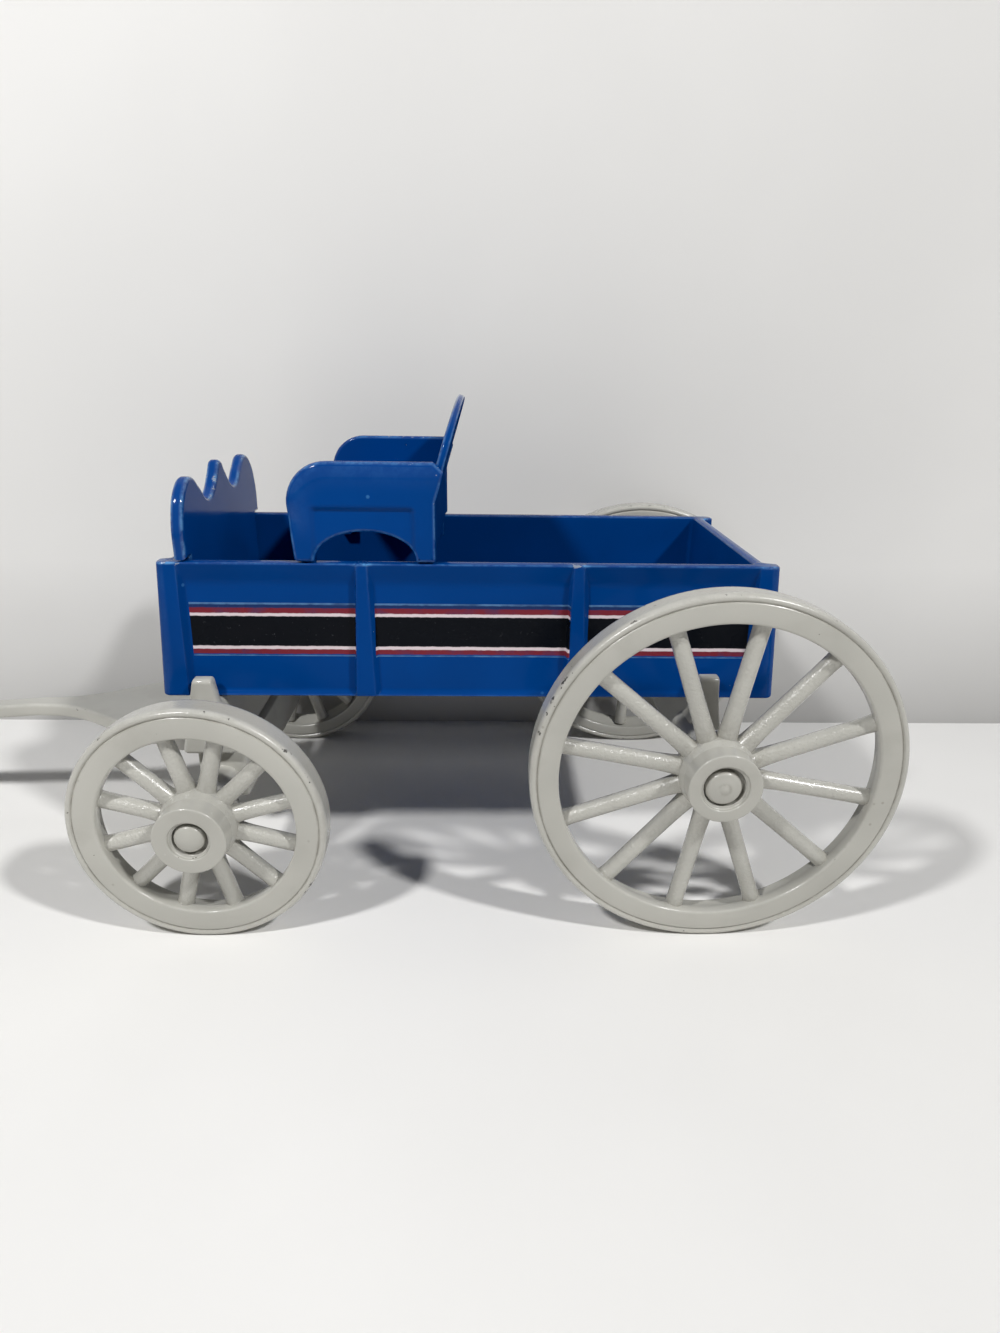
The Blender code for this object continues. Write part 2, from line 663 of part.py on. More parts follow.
def bolster(name, x, inward, foot_z, foot_length, stake_length, stake_rise):
    """Cross beam whose ends rise as stakes outside the bed, with a screw flange under the floor."""
    top = DECK_HEIGHT + stake_rise
    outline = [
        (x - foot_length / 2, foot_z, False), (x + foot_length / 2, foot_z, False),
        (x + stake_length / 2, top, False), (x - stake_length / 2, top, False),
    ]
    beam = outline_mesh(name, outline, BOLSTER_SPAN, standing_along(0))
    soften(beam, 2 * CAST_EDGE)

    def notch_corner(front, left, low):
        z = BOLSTER_TOP if low else top + SLACK
        half = BOLSTER_SPAN / 2 - STAKE_THICKNESS + (0.0 if low else -lean(DECK_HEIGHT) / 2)
        return (x - foot_length if front else x + foot_length, -half if left else half, z)

    cut(beam, shaped_block("bed_notch", notch_corner))
    flange_x = sorted((x, x + inward * FLANGE_REACH))
    flange = block("flange", flange_x, (-FLANGE_WIDTH / 2, FLANGE_WIDTH / 2),
                   (BOLSTER_TOP - FLANGE_THICKNESS, BOLSTER_TOP))
    join(beam, round_uprights(flange, 3 * CAST_EDGE))
    for side in (-1, 1):
        hole = (x + inward * SCREW_FROM_BEAM, side * SCREW_SPACING / 2)
        cut(beam, rod("screw_hole", SCREW_RADIUS + GAP, (*hole, BOLSTER_TOP + SLACK),
                      (*hole, BOLSTER_TOP - FLANGE_THICKNESS - SLACK), segments=12))
    return beam


def front_bolster(material):
    """Front bolster, bored from below for the king pin."""
    beam = bolster("front_bolster_blank", FRONT_BEAM_X, 1, TURNTABLE_HEIGHT + GAP, FRONT_BEAM_FOOT,
                   FRONT_STAKE_TOP, FRONT_STAKE_RISE)
    foot = (KINGPIN_X, 0, TURNTABLE_HEIGHT)
    tip = (KINGPIN_X, 0, TURNTABLE_HEIGHT + GAP + KINGPIN_BITE + GAP)
    cut(beam, rod("kingpin_socket", KINGPIN_RADIUS + GAP, foot, tip))
    return as_part(beam, "front_bolster", material)


def rear_bolster(material):
    """Rear bolster with a boss at each end for the axle rod."""
    axle_z = REAR_WHEEL_RADIUS
    beam = bolster("rear_bolster_blank", REAR_BEAM_X, -1, axle_z - REAR_BEAM_BELOW_AXLE, REAR_BEAM_FOOT,
                   REAR_STAKE_TOP, REAR_STAKE_RISE)
    add_axle_bosses(beam, REAR_AXLE_X, axle_z)
    return as_part(beam, "rear_bolster", material)


def add_axle_bosses(beam, x, z):
    """Round bosses that reach out to the thrust washers, and the bore right through."""
    overlap = BOLSTER_SPAN / 2 - 3 * STAKE_THICKNESS
    for side in (-1, 1):
        boss = rod("axle_boss", AXLE_BOSS_RADIUS, (x, side * overlap, z), (x, side * BOSS_END_Y, z),
                   segments=HUB_SEGMENTS)
        join(beam, boss)
    reach = BOSS_END_Y + SLACK
    cut(beam, rod("axle_bore", AXLE_BORE_RADIUS, (x, -reach, z), (x, reach, z)))


def front_axle_block(material):
    """Turning block: axle housing, king pin web and the lugs of the tongue hinge."""
    axle_z = FRONT_WHEEL_RADIUS
    x_range = (KINGPIN_X - BLOCK_LENGTH / 2, KINGPIN_X + BLOCK_LENGTH / 2)
    body = block("block_blank", x_range, (-BLOCK_WIDTH / 2, BLOCK_WIDTH / 2),
                 (axle_z - BLOCK_BELOW_AXLE, TURNTABLE_HEIGHT))
    soften(body, 2 * CAST_EDGE)
    lug_end = LUG_START + KNUCKLE_LENGTH
    plate_low = HITCH_HEIGHT - TONGUE_THICKNESS / 2
    arm = block("hitch_arm", (HITCH_X, KINGPIN_X), (-lug_end, lug_end),
                (plate_low, HITCH_HEIGHT + TONGUE_THICKNESS / 2))
    join(body, arm)
    throat = block("hitch_throat", (HITCH_X - 2 * KNUCKLE_RADIUS, HITCH_X + KNUCKLE_RADIUS + SLACK),
                   (-LUG_START, LUG_START), (plate_low - GAP, TURNTABLE_HEIGHT + SLACK))
    cut(body, throat)
    lip = block("stop_lip", (HITCH_X - STOP_REACH, KINGPIN_X), (-LUG_START - GAP, LUG_START + GAP),
                (plate_low - GAP - STOP_LIP, plate_low - GAP))
    join(body, lip)
    for side in (-1, 1):
        lug = rod("hitch_lug", KNUCKLE_RADIUS, (HITCH_X, side * LUG_START, HITCH_HEIGHT),
                  (HITCH_X, side * lug_end, HITCH_HEIGHT))
        join(body, lug)
    web_low = TURNTABLE_HEIGHT - WEB_THICKNESS
    cut(body, rod("king_pocket", POCKET_RADIUS, (KINGPIN_X, 0, 0), (KINGPIN_X, 0, web_low)))
    cut(body, rod("king_bore", KINGPIN_RADIUS + GAP, (KINGPIN_X, 0, web_low - SLACK),
                  (KINGPIN_X, 0, TURNTABLE_HEIGHT + SLACK)))
    cut(body, rod("hitch_bore", HITCH_PIN_RADIUS + GAP, (HITCH_X, -lug_end - SLACK, HITCH_HEIGHT),
                  (HITCH_X, lug_end + SLACK, HITCH_HEIGHT), segments=12))
    add_axle_bosses(body, KINGPIN_X, axle_z)
    return as_part(body, "front_axle_block", material, (KINGPIN_X, 0, TURNTABLE_HEIGHT))


def tongue(material):
    """Pole with a flared plate and two hinge eyes, cast in one piece and drooping a little."""
    lug_end = LUG_START + KNUCKLE_LENGTH
    eye_start = lug_end + GAP
    eye_end = eye_start + KNUCKLE_LENGTH
    heel = KNUCKLE_RADIUS + 3 * GAP
    tip_round = POLE_WIDTH / 2
    near = [
        (heel, eye_end, False),
        (heel + KNUCKLE_LENGTH, eye_end - 1.6 * MM, True),
        ((heel + PLATE_NECK_AT) / 2, PLATE_HALF_WAY, True),
        (PLATE_NECK_AT, POLE_WIDTH / 2 + 1.1 * MM, True),
        (POLE_START, POLE_WIDTH / 2, False),
        (TONGUE_LENGTH - tip_round, POLE_WIDTH / 2, False),
    ]
    tip = []
    for step in range(1, 6):
        angle = math.radians(30 * step)
        tip.append((TONGUE_LENGTH - tip_round * (1 - math.sin(angle)), tip_round * math.cos(angle), False))
    far = [(u, -v, smooth) for u, v, smooth in reversed(near)]
    outline = [(HITCH_X - u, v, smooth) for u, v, smooth in near + tip + far]
    plate = outline_mesh("tongue_blank", outline, TONGUE_THICKNESS, lying(HITCH_HEIGHT))
    slope = math.tan(math.radians(POLE_DROOP))
    for vert in plate.data.vertices:
        beyond = HITCH_X - POLE_START - vert.co.x
        if beyond > 0:
            vert.co.z -= beyond * slope
    soften(plate, CAST_EDGE)
    for side in (-1, 1):
        y_range = sorted((side * eye_start, side * eye_end))
        arm = block("eye_arm", (HITCH_X - heel - SLACK, HITCH_X), y_range,
                    (HITCH_HEIGHT - TONGUE_THICKNESS / 2 + GAP, HITCH_HEIGHT + TONGUE_THICKNESS / 2 - GAP))
        eye = rod("hinge_eye", KNUCKLE_RADIUS, (HITCH_X, y_range[0], HITCH_HEIGHT),
                  (HITCH_X, y_range[1], HITCH_HEIGHT))
        join(plate, arm, eye)
    reach = eye_end + SLACK
    cut(plate, rod("eye_bore", HITCH_PIN_RADIUS + GAP, (HITCH_X, -reach, HITCH_HEIGHT),
                   (HITCH_X, reach, HITCH_HEIGHT), segments=12))
    return as_part(plate, "tongue", material, (HITCH_X, 0, HITCH_HEIGHT))


def rim_profile(radius, depth):
    """Rim section: round tread bead, groove, flat side ring and a slightly crowned inner face."""
    inner = radius - depth
    groove = radius - BEAD_DEPTH
    half = RIM_WIDTH / 2
    upper = [
        (radius, 0.28 * half),
        (radius - 0.12 * BEAD_DEPTH, 0.72 * half),
        (radius - 0.55 * BEAD_DEPTH, half),
        (groove, half - 0.2 * GROOVE_DEPTH),
        (groove - GROOVE_WIDTH / 2, half - GROOVE_DEPTH),
        (groove - GROOVE_WIDTH, half - 0.2 * GROOVE_DEPTH),
        (inner, half - 0.2 * GROOVE_DEPTH),
    ]
    lower = [(r, -h) for r, h in upper]
    return list(reversed(upper)) + lower


def hub_profile(recess_radius):
    """Hub section about its own middle, outer face up: barrel, spoke belt, waist, recess and bore."""
    face = HUB_FACE_Y - RIM_MIDDLE_Y
    inner_end = HUB_INNER_Y - RIM_MIDDLE_Y
    belt = SPOKE_HUB_RADIUS + CAST_EDGE
    return [
        (HUB_RADIUS - CAST_EDGE, face),
        (HUB_RADIUS, face - CAST_EDGE),
        (HUB_SPOKE_BELT, belt),
        (HUB_SPOKE_BELT, -belt),
        (HUB_WAIST_RADIUS, -belt - 1.6 * MM),
        (HUB_WAIST_RADIUS, inner_end),
        (AXLE_BORE_RADIUS, inner_end),
        (AXLE_BORE_RADIUS, face - RECESS_DEPTH),
        (recess_radius, face - RECESS_DEPTH),
        (recess_radius, face),
    ]


def wheel_mesh(name, radius, rim_depth, recess_radius):
    """One spoked wheel about local Z, its outer face up."""
    rim = turned(name + "_rim", rim_profile(radius, rim_depth), RIM_SEGMENTS)
    hub = turned(name + "_hub", hub_profile(recess_radius), HUB_SEGMENTS)
    hub.rotation_euler.z = math.radians(180 / HUB_SEGMENTS)
    inner = radius - rim_depth
    start = HUB_SPOKE_BELT - SPOKE_ROOT
    bm = bmesh.new()
    for i in range(SPOKE_COUNT):
        turn = Matrix.Rotation(math.radians(SPOKE_FIRST_ANGLE + 360 * i / SPOKE_COUNT), 4, "Z")
        length = inner + SPOKE_ROOT - start
        half_facet = Matrix.Rotation(math.radians(180 / SPOKE_SIDES), 4, "Z")
        lay = Matrix.Rotation(math.radians(90), 4, "Y") @ half_facet
        place = turn @ Matrix.Translation((start + length / 2, 0, 0)) @ lay
        bmesh.ops.create_cone(bm, cap_ends=True, segments=SPOKE_SIDES, radius1=SPOKE_HUB_RADIUS,
                              radius2=SPOKE_RIM_RADIUS, depth=length, matrix=place)
    spokes = add_object(name + "_spokes", mesh_from(name + "_spokes", bm))
    join(rim, spokes, hub)
    bpy.context.view_layer.update()
    evaluated = rim.evaluated_get(bpy.context.evaluated_depsgraph_get())
    mesh = bpy.data.meshes.new_from_object(evaluated)
    for helper in (rim, hub, spokes):
        bpy.data.objects.remove(helper, do_unlink=True)
    mesh.shade_smooth()
    mesh.set_sharp_from_angle(angle=math.radians(32))
    return mesh


def facing_out(side, turn):
    """Rotation that turns local Z away from the wagon's middle, with the spokes turned on it."""
    return Euler((math.radians(-90 * side), math.radians(-turn), 0))


def place_turned(mesh, name, material, location, side, turn=0.0):
    """One round part on an axle, its outer face away from the wagon."""
    own = mesh.copy()
    own.name = name
    own.materials.clear()
    own.materials.append(material)
    part = add_object(name, own, PARTS)
    part.location = location
    part.rotation_euler = facing_out(side, turn)
    return part


def turned_mesh(name, profile, segments):
    """Mesh of a turned shape, its helper object removed."""
    helper = turned(name, profile, segments)
    bpy.context.view_layer.update()
    evaluated = helper.evaluated_get(bpy.context.evaluated_depsgraph_get())
    mesh = bpy.data.meshes.new_from_object(evaluated)
    bpy.data.objects.remove(helper, do_unlink=True)
    mesh.shade_smooth()
    mesh.set_sharp_from_angle(angle=math.radians(32))
    return mesh


def cap_profile(radius):
    """Domed cap, its seat at height 0, with a blind socket for the axle's end."""
    dome = [(radius * math.cos(math.radians(a)), CAP_EDGE + CAP_DOME * math.sin(math.radians(a)))
            for a in (60, 30, 0)]
    return [(0.0, CAP_EDGE + CAP_DOME)] + dome + [
        (radius, 0.0), (AXLE_BORE_RADIUS, 0.0), (AXLE_BORE_RADIUS, CAP_SOCKET), (0.0, CAP_SOCKET)]


def running_gear(off_white, steel):
    """Wheels, caps, washers and rods of both axles."""
    axles = (
        ("front", KINGPIN_X, FRONT_WHEEL_RADIUS, FRONT_RIM_DEPTH, FRONT_RECESS_RADIUS, FRONT_CAP_RADIUS),
        ("rear", REAR_AXLE_X, REAR_WHEEL_RADIUS, REAR_RIM_DEPTH, REAR_RECESS_RADIUS, REAR_CAP_RADIUS),
    )
    washer = turned_mesh("axle_washer", [
        (WASHER_RADIUS, WASHER_THICKNESS), (WASHER_RADIUS, 0.0),
        (AXLE_BORE_RADIUS, 0.0), (AXLE_BORE_RADIUS, WASHER_THICKNESS)], HUB_SEGMENTS)
    for label, x, radius, rim_depth, recess, cap_radius in axles:
        wheel = wheel_mesh("wheel_" + label, radius, rim_depth, recess)
        cap = turned_mesh("cap_" + label, cap_profile(cap_radius), PIN_SEGMENTS)
        for side, hand in ((-1, "left"), (1, "right")):
            tail = "%s_%s" % (label, hand)
            place_turned(wheel, "wheel_" + tail, off_white, (x, side * RIM_MIDDLE_Y, radius), side,
                         REST_TURN[tail])
            place_turned(cap, "axle_cap_" + tail, off_white, (x, side * CAP_SEAT_Y, radius), side)
            washer_y = side * (WASHER_OUTER_Y - WASHER_THICKNESS)
            place_turned(washer, "axle_washer_" + tail, steel, (x, washer_y, radius), side)
        bar = rod("rod_" + label, AXLE_RADIUS, (x, -ROD_END_Y, radius), (x, ROD_END_Y, radius))
        as_part(bar, "%s_axle_rod" % label, steel, (x, 0, radius))


def fasteners(steel):
    """Bolster screws, king pin with its washer, and the tongue's hinge pin."""
    names = [(axle, hand) for axle in ("front", "rear") for hand in ("left", "right")]
    seat = BOLSTER_TOP - FLANGE_THICKNESS - GAP
    screw = turned_mesh("bolster_screw", [
        (0.0, DECK_HEIGHT + SCREW_BITE - seat), (SCREW_RADIUS, DECK_HEIGHT + SCREW_BITE - seat),
        (SCREW_RADIUS, 0.0), (SCREW_HEAD_RADIUS, 0.0), (SCREW_HEAD_RADIUS, -0.4 * SCREW_HEAD),
        (0.6 * SCREW_HEAD_RADIUS, -SCREW_HEAD), (0.0, -SCREW_HEAD)], 16)
    for (axle, hand), (x, y) in zip(names, screw_places()):
        own = screw.copy()
        own.materials.clear()
        own.materials.append(steel)
        part = add_object("bolster_screw_%s_%s" % (axle, hand), own, PARTS)
        part.location = (x, y, seat)

    web_low = TURNTABLE_HEIGHT - WEB_THICKNESS
    washer_low = web_low - GAP - KINGPIN_WASHER
    washer = turned("kingpin_washer_blank", [
        (KINGPIN_WASHER_RADIUS, washer_low + KINGPIN_WASHER), (KINGPIN_WASHER_RADIUS, washer_low),
        (KINGPIN_RADIUS + GAP, washer_low), (KINGPIN_RADIUS + GAP, washer_low + KINGPIN_WASHER)],
        PIN_SEGMENTS)
    washer.location = (KINGPIN_X, 0, 0)
    as_part(washer, "kingpin_washer", steel, (KINGPIN_X, 0, washer_low))
    head_top = washer_low - GAP
    tip = TURNTABLE_HEIGHT + GAP + KINGPIN_BITE
    pin = turned("kingpin_blank", [
        (0.0, tip), (KINGPIN_RADIUS, tip), (KINGPIN_RADIUS, head_top), (KINGPIN_HEAD_RADIUS, head_top),
        (KINGPIN_HEAD_RADIUS, head_top - KINGPIN_HEAD), (0.0, head_top - KINGPIN_HEAD)], PIN_SEGMENTS)
    pin.location = (KINGPIN_X, 0, 0)
    as_part(pin, "kingpin", steel, (KINGPIN_X, 0, TURNTABLE_HEIGHT))

    half = LUG_START + 2 * KNUCKLE_LENGTH + 2 * GAP
    hinge = turned("tongue_pin_blank", [
        (0.0, half + HITCH_PIN_HEAD), (HITCH_PIN_HEAD_RADIUS, half + HITCH_PIN_HEAD),
        (HITCH_PIN_HEAD_RADIUS, half), (HITCH_PIN_RADIUS, half), (HITCH_PIN_RADIUS, -half),
        (HITCH_PIN_HEAD_RADIUS, -half), (HITCH_PIN_HEAD_RADIUS, -half - HITCH_PIN_HEAD),
        (0.0, -half - HITCH_PIN_HEAD)], 12)
    hinge.matrix_world = Matrix.Translation((HITCH_X, 0, HITCH_HEIGHT)) @ standing_along(0)
    as_part(hinge, "tongue_pin", steel, (HITCH_X, 0, HITCH_HEIGHT))


def gather(empty_name, location, names):
    """Hang parts on an empty that stands on a joint's axis, without moving them."""
    empty = bpy.data.objects.new(empty_name, None)
    PARTS.objects.link(empty)
    empty.location = location
    bpy.context.view_layer.update()
    for name in names:
        child = bpy.data.objects[name]
        place = child.matrix_world.copy()
        child.parent = empty
        child.matrix_parent_inverse = empty.matrix_world.inverted()
        child.matrix_world = place
    return empty


def clear_helpers():
    """Drop the helper shapes once the parts hold their own meshes."""
    for helper in list(CUTTERS.objects):
        bpy.data.objects.remove(helper, do_unlink=True)


def build():
    """Model the whole wagon."""
    blue = new_material("blue_enamel", BLUE)
    off_white = new_material("off_white_enamel", OFF_WHITE)
    steel = new_material("plain_steel", STEEL)
    wagon_bed(blue)
    dash_board(blue)
    seat_casting(blue)
    front_bolster(off_white)
    rear_bolster(off_white)
    front_axle_block(off_white)
    tongue(off_white)
    running_gear(off_white, steel)
    fasteners(steel)
    clear_helpers()
    turning = ["front_axle_block", "front_axle_rod", "tongue_pin", "tongue"]
    for hand in ("left", "right"):
        turning += ["wheel_front_" + hand, "axle_cap_front_" + hand, "axle_washer_front_" + hand]
    gather("steering_axis", (KINGPIN_X, 0, TURNTABLE_HEIGHT), turning)


build()
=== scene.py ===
"""Looks of a toy buckboard wagon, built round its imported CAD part.

The wagon faces -X and stands on z = 0. The side towards the camera, its left, is -Y.
Shapes are worked out in millimetres and become metres when a piece is made.
"""

import math
from contextlib import contextmanager

import bmesh
import bpy
from mathutils import Euler, Matrix, Vector
from mathutils.geometry import delaunay_2d_cdt


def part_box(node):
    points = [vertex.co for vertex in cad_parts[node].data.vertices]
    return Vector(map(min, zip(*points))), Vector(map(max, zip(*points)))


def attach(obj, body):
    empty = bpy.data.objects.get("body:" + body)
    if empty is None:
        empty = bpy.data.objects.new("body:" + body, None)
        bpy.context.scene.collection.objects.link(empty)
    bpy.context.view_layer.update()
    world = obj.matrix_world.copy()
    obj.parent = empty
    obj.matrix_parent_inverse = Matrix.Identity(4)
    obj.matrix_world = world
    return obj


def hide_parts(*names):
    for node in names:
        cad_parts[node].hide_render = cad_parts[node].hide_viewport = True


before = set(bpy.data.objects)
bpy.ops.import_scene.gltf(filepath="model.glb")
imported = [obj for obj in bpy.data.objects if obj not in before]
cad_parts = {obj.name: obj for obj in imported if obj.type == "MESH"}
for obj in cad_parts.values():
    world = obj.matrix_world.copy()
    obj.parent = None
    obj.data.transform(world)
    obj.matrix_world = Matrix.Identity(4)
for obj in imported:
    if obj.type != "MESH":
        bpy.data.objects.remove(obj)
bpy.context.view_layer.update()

MM = 0.001
WELD = 2e-6
LEFT, RIGHT = -1, 1


def middle_of(node):
    """Middle of a CAD node's box, in millimetres."""
    low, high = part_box(node)
    return (low + high) / 2 / MM


def span_of(node):
    """Lowest and highest corner of a CAD node's box, in millimetres."""
    low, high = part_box(node)
    return low / MM, high / MM


# Axles
REAR_AXLE = middle_of("rear_axle_rod")
FRONT_AXLE = middle_of("front_axle_rod")
REAR_WHEEL_RADIUS = 38.1
FRONT_WHEEL_RADIUS = 26.2

# Wheels
RIM_FACE_Y = 51.5
RIM_WIDTH = 6.5
RIM_MIDDLE_Y = RIM_FACE_Y - RIM_WIDTH / 2
REAR_RIM_DEPTH = 5.9
FRONT_RIM_DEPTH = 6.2
BEAD_DEPTH = 1.3
GROOVE_WIDTH = 0.5
GROOVE_DEPTH = 0.35
INNER_TAPER = 1.3
SPOKE_COUNT = 12
SPOKE_SIDES = 20
SPOKE_FIRST_ANGLE = 15.0
SPOKE_ROOT_AT = 6.9
SPOKE_ROOT_RADIUS = 1.8
SPOKE_TIP_RADIUS = 1.72
SPOKE_ROOT_FLARE = 0.5
SPOKE_TIP_FLARE = 0.2
SPOKE_TIP_SUNK = 0.7
SPOKE_GRIT = 6.0
HUB_RADIUS = 7.35
HUB_BELT = 8.0
HUB_WAIST = 6.4
HUB_FACE_Y = 56.0
HUB_INNER_Y = 41.6
RECESS_DEPTH = 2.2
FRONT_RECESS = 4.2
REAR_RECESS = 4.8
AXLE_BORE = 1.9
FRONT_CAP = 3.1
REAR_CAP = 3.7
CAP_GAP = 0.3
CAP_SKIRT = 0.7

# Bed
DECK = 46.8
BED_TOP = 76.0
BED_FRONT_X = -26.35
BED_REAR_X = 103.85
BED_HALF = 29.6
BED_DRAFT = 1.4
FLOOR_TOP = 49.4
FLOOR_FILLET = 0.8
CAVITY = (-23.05, 98.65, 26.8)
CAVITY_DRAFT = 0.4
CAVITY_CORNER = 1.0
POST_WIDTH = 4.4
POST_ROUND = 1.8
RIBS_X = (16.15, 61.35)
RIB_TOP = 2.2
RIB_FOOT = 4.2
PANEL_DEPTH = 1.5
PANEL_FLANK = 1.0
PANEL_FLANK_REAR = 0.35
RIM_SLOPE = 4.5
FRONT_INSET = 2.0
TAILGATE_INSET = 2.7
CAST_EDGE = 0.5
LIP = 0.45

# Striped film on the side panels
FILM_SPANS = ((-20.5, 14.35), (18.5, 59.95), (63.9, 98.6))
FILM_LOW = 55.5
FILM_HIGH = 67.2
FILM_FACE = 0.05
FILM_BACK = -0.06

# Footboard
DASH_X = (-22.35, -19.65)
DASH_EDGE = 0.9
DASH_FOOT_HALF = 26.1

# Seat
SEAT_X = (1.45, 31.65)
SEAT_BASE = 76.3
SEAT_HALF = 29.9
SEAT_PANEL = 2.6
ARM_HEIGHT = 20.2
ARM_ROUND = 8.4
PLANK_TOP = 12.3
PLANK_THICKNESS = 2.6
BACK_RISE = 31.8
BACK_LEAN = 16.5
BACK_THICKNESS = 1.7
FOOT_TAPER = 1.1

# Bolsters, turning block and tongue
BOLSTER_HALF = 33.7
BOLSTER_TOP = 46.5
STAKE_THICKNESS = 2.6
FLANGE_WIDTH = 13.4
FLANGE_HALF = 19.0
FLANGE_THICKNESS = 2.2
BOSS_START_Y = 25.9
BOSS_LENGTH = 14.3
BOSS_RADIUS = 4.2
HITCH = (-28.95, 30.8)
TONGUE_LENGTH = 98.0
TONGUE_THICKNESS = 3.4
TONGUE_TIP_ROUND = 2.6
TONGUE_PLATE_END = 43.0
TONGUE_DROOP = 4.5
EYE_MIDDLE_Y = 16.9


# ---- shapes

def following(row):
    """Each item of a closed row with the one after it."""
    return zip(row, row[1:] + row[:1])


def quarter(steps, radius):
    """Steps of a rounded edge: depth below the face, distance from the side, and edge mask."""
    for step in range(steps + 1):
        angle = math.pi / 2 * step / steps
        yield radius * (1 - math.sin(angle)), radius * (1 - math.cos(angle)), math.sin(2 * angle)


def turns(first, last, steps):
    """Cosines and sines of evenly spread angles, given in degrees."""
    for step in range(steps + 1):
        angle = math.radians(first + (last - first) * step / steps)
        yield math.cos(angle), math.sin(angle)


@contextmanager
def editing(mesh, *sources):
    """Open a mesh, or its sources, for changes; afterwards its faces are turned outwards."""
    bm = bmesh.new()
    for source in sources or (mesh,):
        bm.from_mesh(source)
    yield bm
    bmesh.ops.recalc_face_normals(bm, faces=bm.faces)
    bm.to_mesh(mesh)
    bm.free()


def set_mask(mesh, label, values):
    """Give the points of a mesh a value each, under a label that materials read."""
    layer = mesh.attributes.new(label, "FLOAT", "POINT")
    layer.data.foreach_set("value", [float(value) for value in values])


def add_object(name, data):
    """New object in the scene."""
    obj = bpy.data.objects.new(name, data)
    bpy.context.scene.collection.objects.link(obj)
    return obj


class Shell:
    """Points and faces of one piece, in millimetres; each point's share of an edge and a nook."""

    def __init__(self):
        self.points, self.edge, self.nook, self.faces = [], [], [], []

    def ring(self, points, edge=0.0, nook=0.0):
        """Add a row of points and give their numbers."""
        start = len(self.points)
        self.points += [Vector(point) for point in points]
        for mask, value in ((self.edge, edge), (self.nook, nook)):
            mask += value if isinstance(value, list) else [value] * (len(self.points) - start)
        return list(range(start, len(self.points)))

    def strip(self, first, second, closed=True):
        """Four-sided faces between two rows of the same length."""
        pairs = list(zip(following(first), following(second)))
        for (a, b), (c, d) in pairs if closed else pairs[:-1]:
            self.faces.append((a, b, d, c))

    def skin(self, rows, closed=True):
        """Faces between each row and the next."""
        for first, second in zip(rows, rows[1:]):
            self.strip(first, second, closed)

    def place(self, how, start=0):
        """Move the points from a number on, by a matrix or a function."""
        move = how.__matmul__ if isinstance(how, Matrix) else how
        self.points[start:] = [Vector(move(point)) for point in self.points[start:]]

    def mesh(self, name, fill=False):
        """Weld the points, fill the open ends that can be filled if asked, and turn the faces."""
        mesh = bpy.data.meshes.new(name)
        mesh.from_pydata([point * MM for point in self.points], [], self.faces)
        set_mask(mesh, "edge", self.edge)
        set_mask(mesh, "nook", self.nook)
        with editing(mesh) as bm:
            bmesh.ops.remove_doubles(bm, verts=bm.verts, dist=WELD)
            if fill:
                ends = [edge for edge in bm.edges if edge.is_boundary]
                bmesh.ops.holes_fill(bm, edges=ends, sides=0)
        return mesh


def rounded(corners, closed=True, fineness=9.0):
    """Outline from corners (u, v, round): each corner becomes an arc of that radius.

    Gives (u, v, edge) points, where edge is 1 in the middle of an arc.
    """
    count = len(corners)
    outline = []
    for number, (u, v, radius) in enumerate(corners):
        here = Vector((u, v))
        if radius <= 0 or (not closed and number in (0, count - 1)):
            outline.append((u, v, 0.0))
            continue
        before = Vector(corners[number - 1][:2]) - here
        after = Vector(corners[(number + 1) % count][:2]) - here
        back, on = before.normalized(), after.normalized()
        spread = math.acos(max(-1.0, min(1.0, back.dot(on))))
        reach = radius / math.tan(spread / 2)
        limit = 0.49 * min(before.length, after.length)
        if reach > limit:
            reach = limit
            radius = reach * math.tan(spread / 2)
        centre = here + (back + on).normalized() * (radius / math.sin(spread / 2))
        start = here + back * reach - centre
        bend = math.pi - spread
        turn = 1.0 if back.x * on.y - back.y * on.x < 0 else -1.0
        steps = max(2, math.ceil(math.degrees(bend) / fineness))
        for step in range(steps + 1):
            angle = turn * bend * step / steps
            cos, sin = math.cos(angle), math.sin(angle)
            spoke = Vector((start.x * cos - start.y * sin, start.x * sin + start.y * cos))
            edge = math.sin(math.pi * step / steps)
            outline.append((centre.x + spoke.x, centre.y + spoke.y, edge))
    return outline


def rectangle(u, v, *rounds):
    """Outline from two spans, with one rounding for all four corners or one for each of them."""
    corners = ((u[0], v[0]), (u[1], v[0]), (u[1], v[1]), (u[0], v[1]))
    rounds = rounds if len(rounds) > 1 else rounds * 4
    return rounded([(*corner, radius) for corner, radius in zip(corners, rounds)])


def flowing(points, steps=14):
    """Outline through (u, v, smooth) points: passed in a curve if smooth, else a corner."""
    curve = bpy.data.curves.new("outline", "CURVE")
    curve.dimensions = "2D"
    curve.fill_mode = "NONE"
    curve.resolution_u = steps
    spline = curve.splines.new("BEZIER")
    spline.bezier_points.add(len(points) - 1)
    spline.use_cyclic_u = True
    for knot, (u, v, smooth) in zip(spline.bezier_points, points):
        knot.co = (u, v, 0.0)
        knot.handle_left_type = knot.handle_right_type = "AUTO" if smooth else "VECTOR"
    obj = add_object("outline", curve)
    mesh = final_mesh(obj)
    outline = [(vert.co.x, vert.co.y) for vert in mesh.vertices]
    bpy.data.objects.remove(obj, do_unlink=True)
    bpy.data.meshes.remove(mesh)
    bpy.data.curves.remove(curve)
    return outline


def final_mesh(obj):
    """Plain mesh of an object as it looks after its curves or modifiers are worked out."""
    bpy.context.view_layer.update()
    return bpy.data.meshes.new_from_object(
        obj.evaluated_get(bpy.context.evaluated_depsgraph_get()))


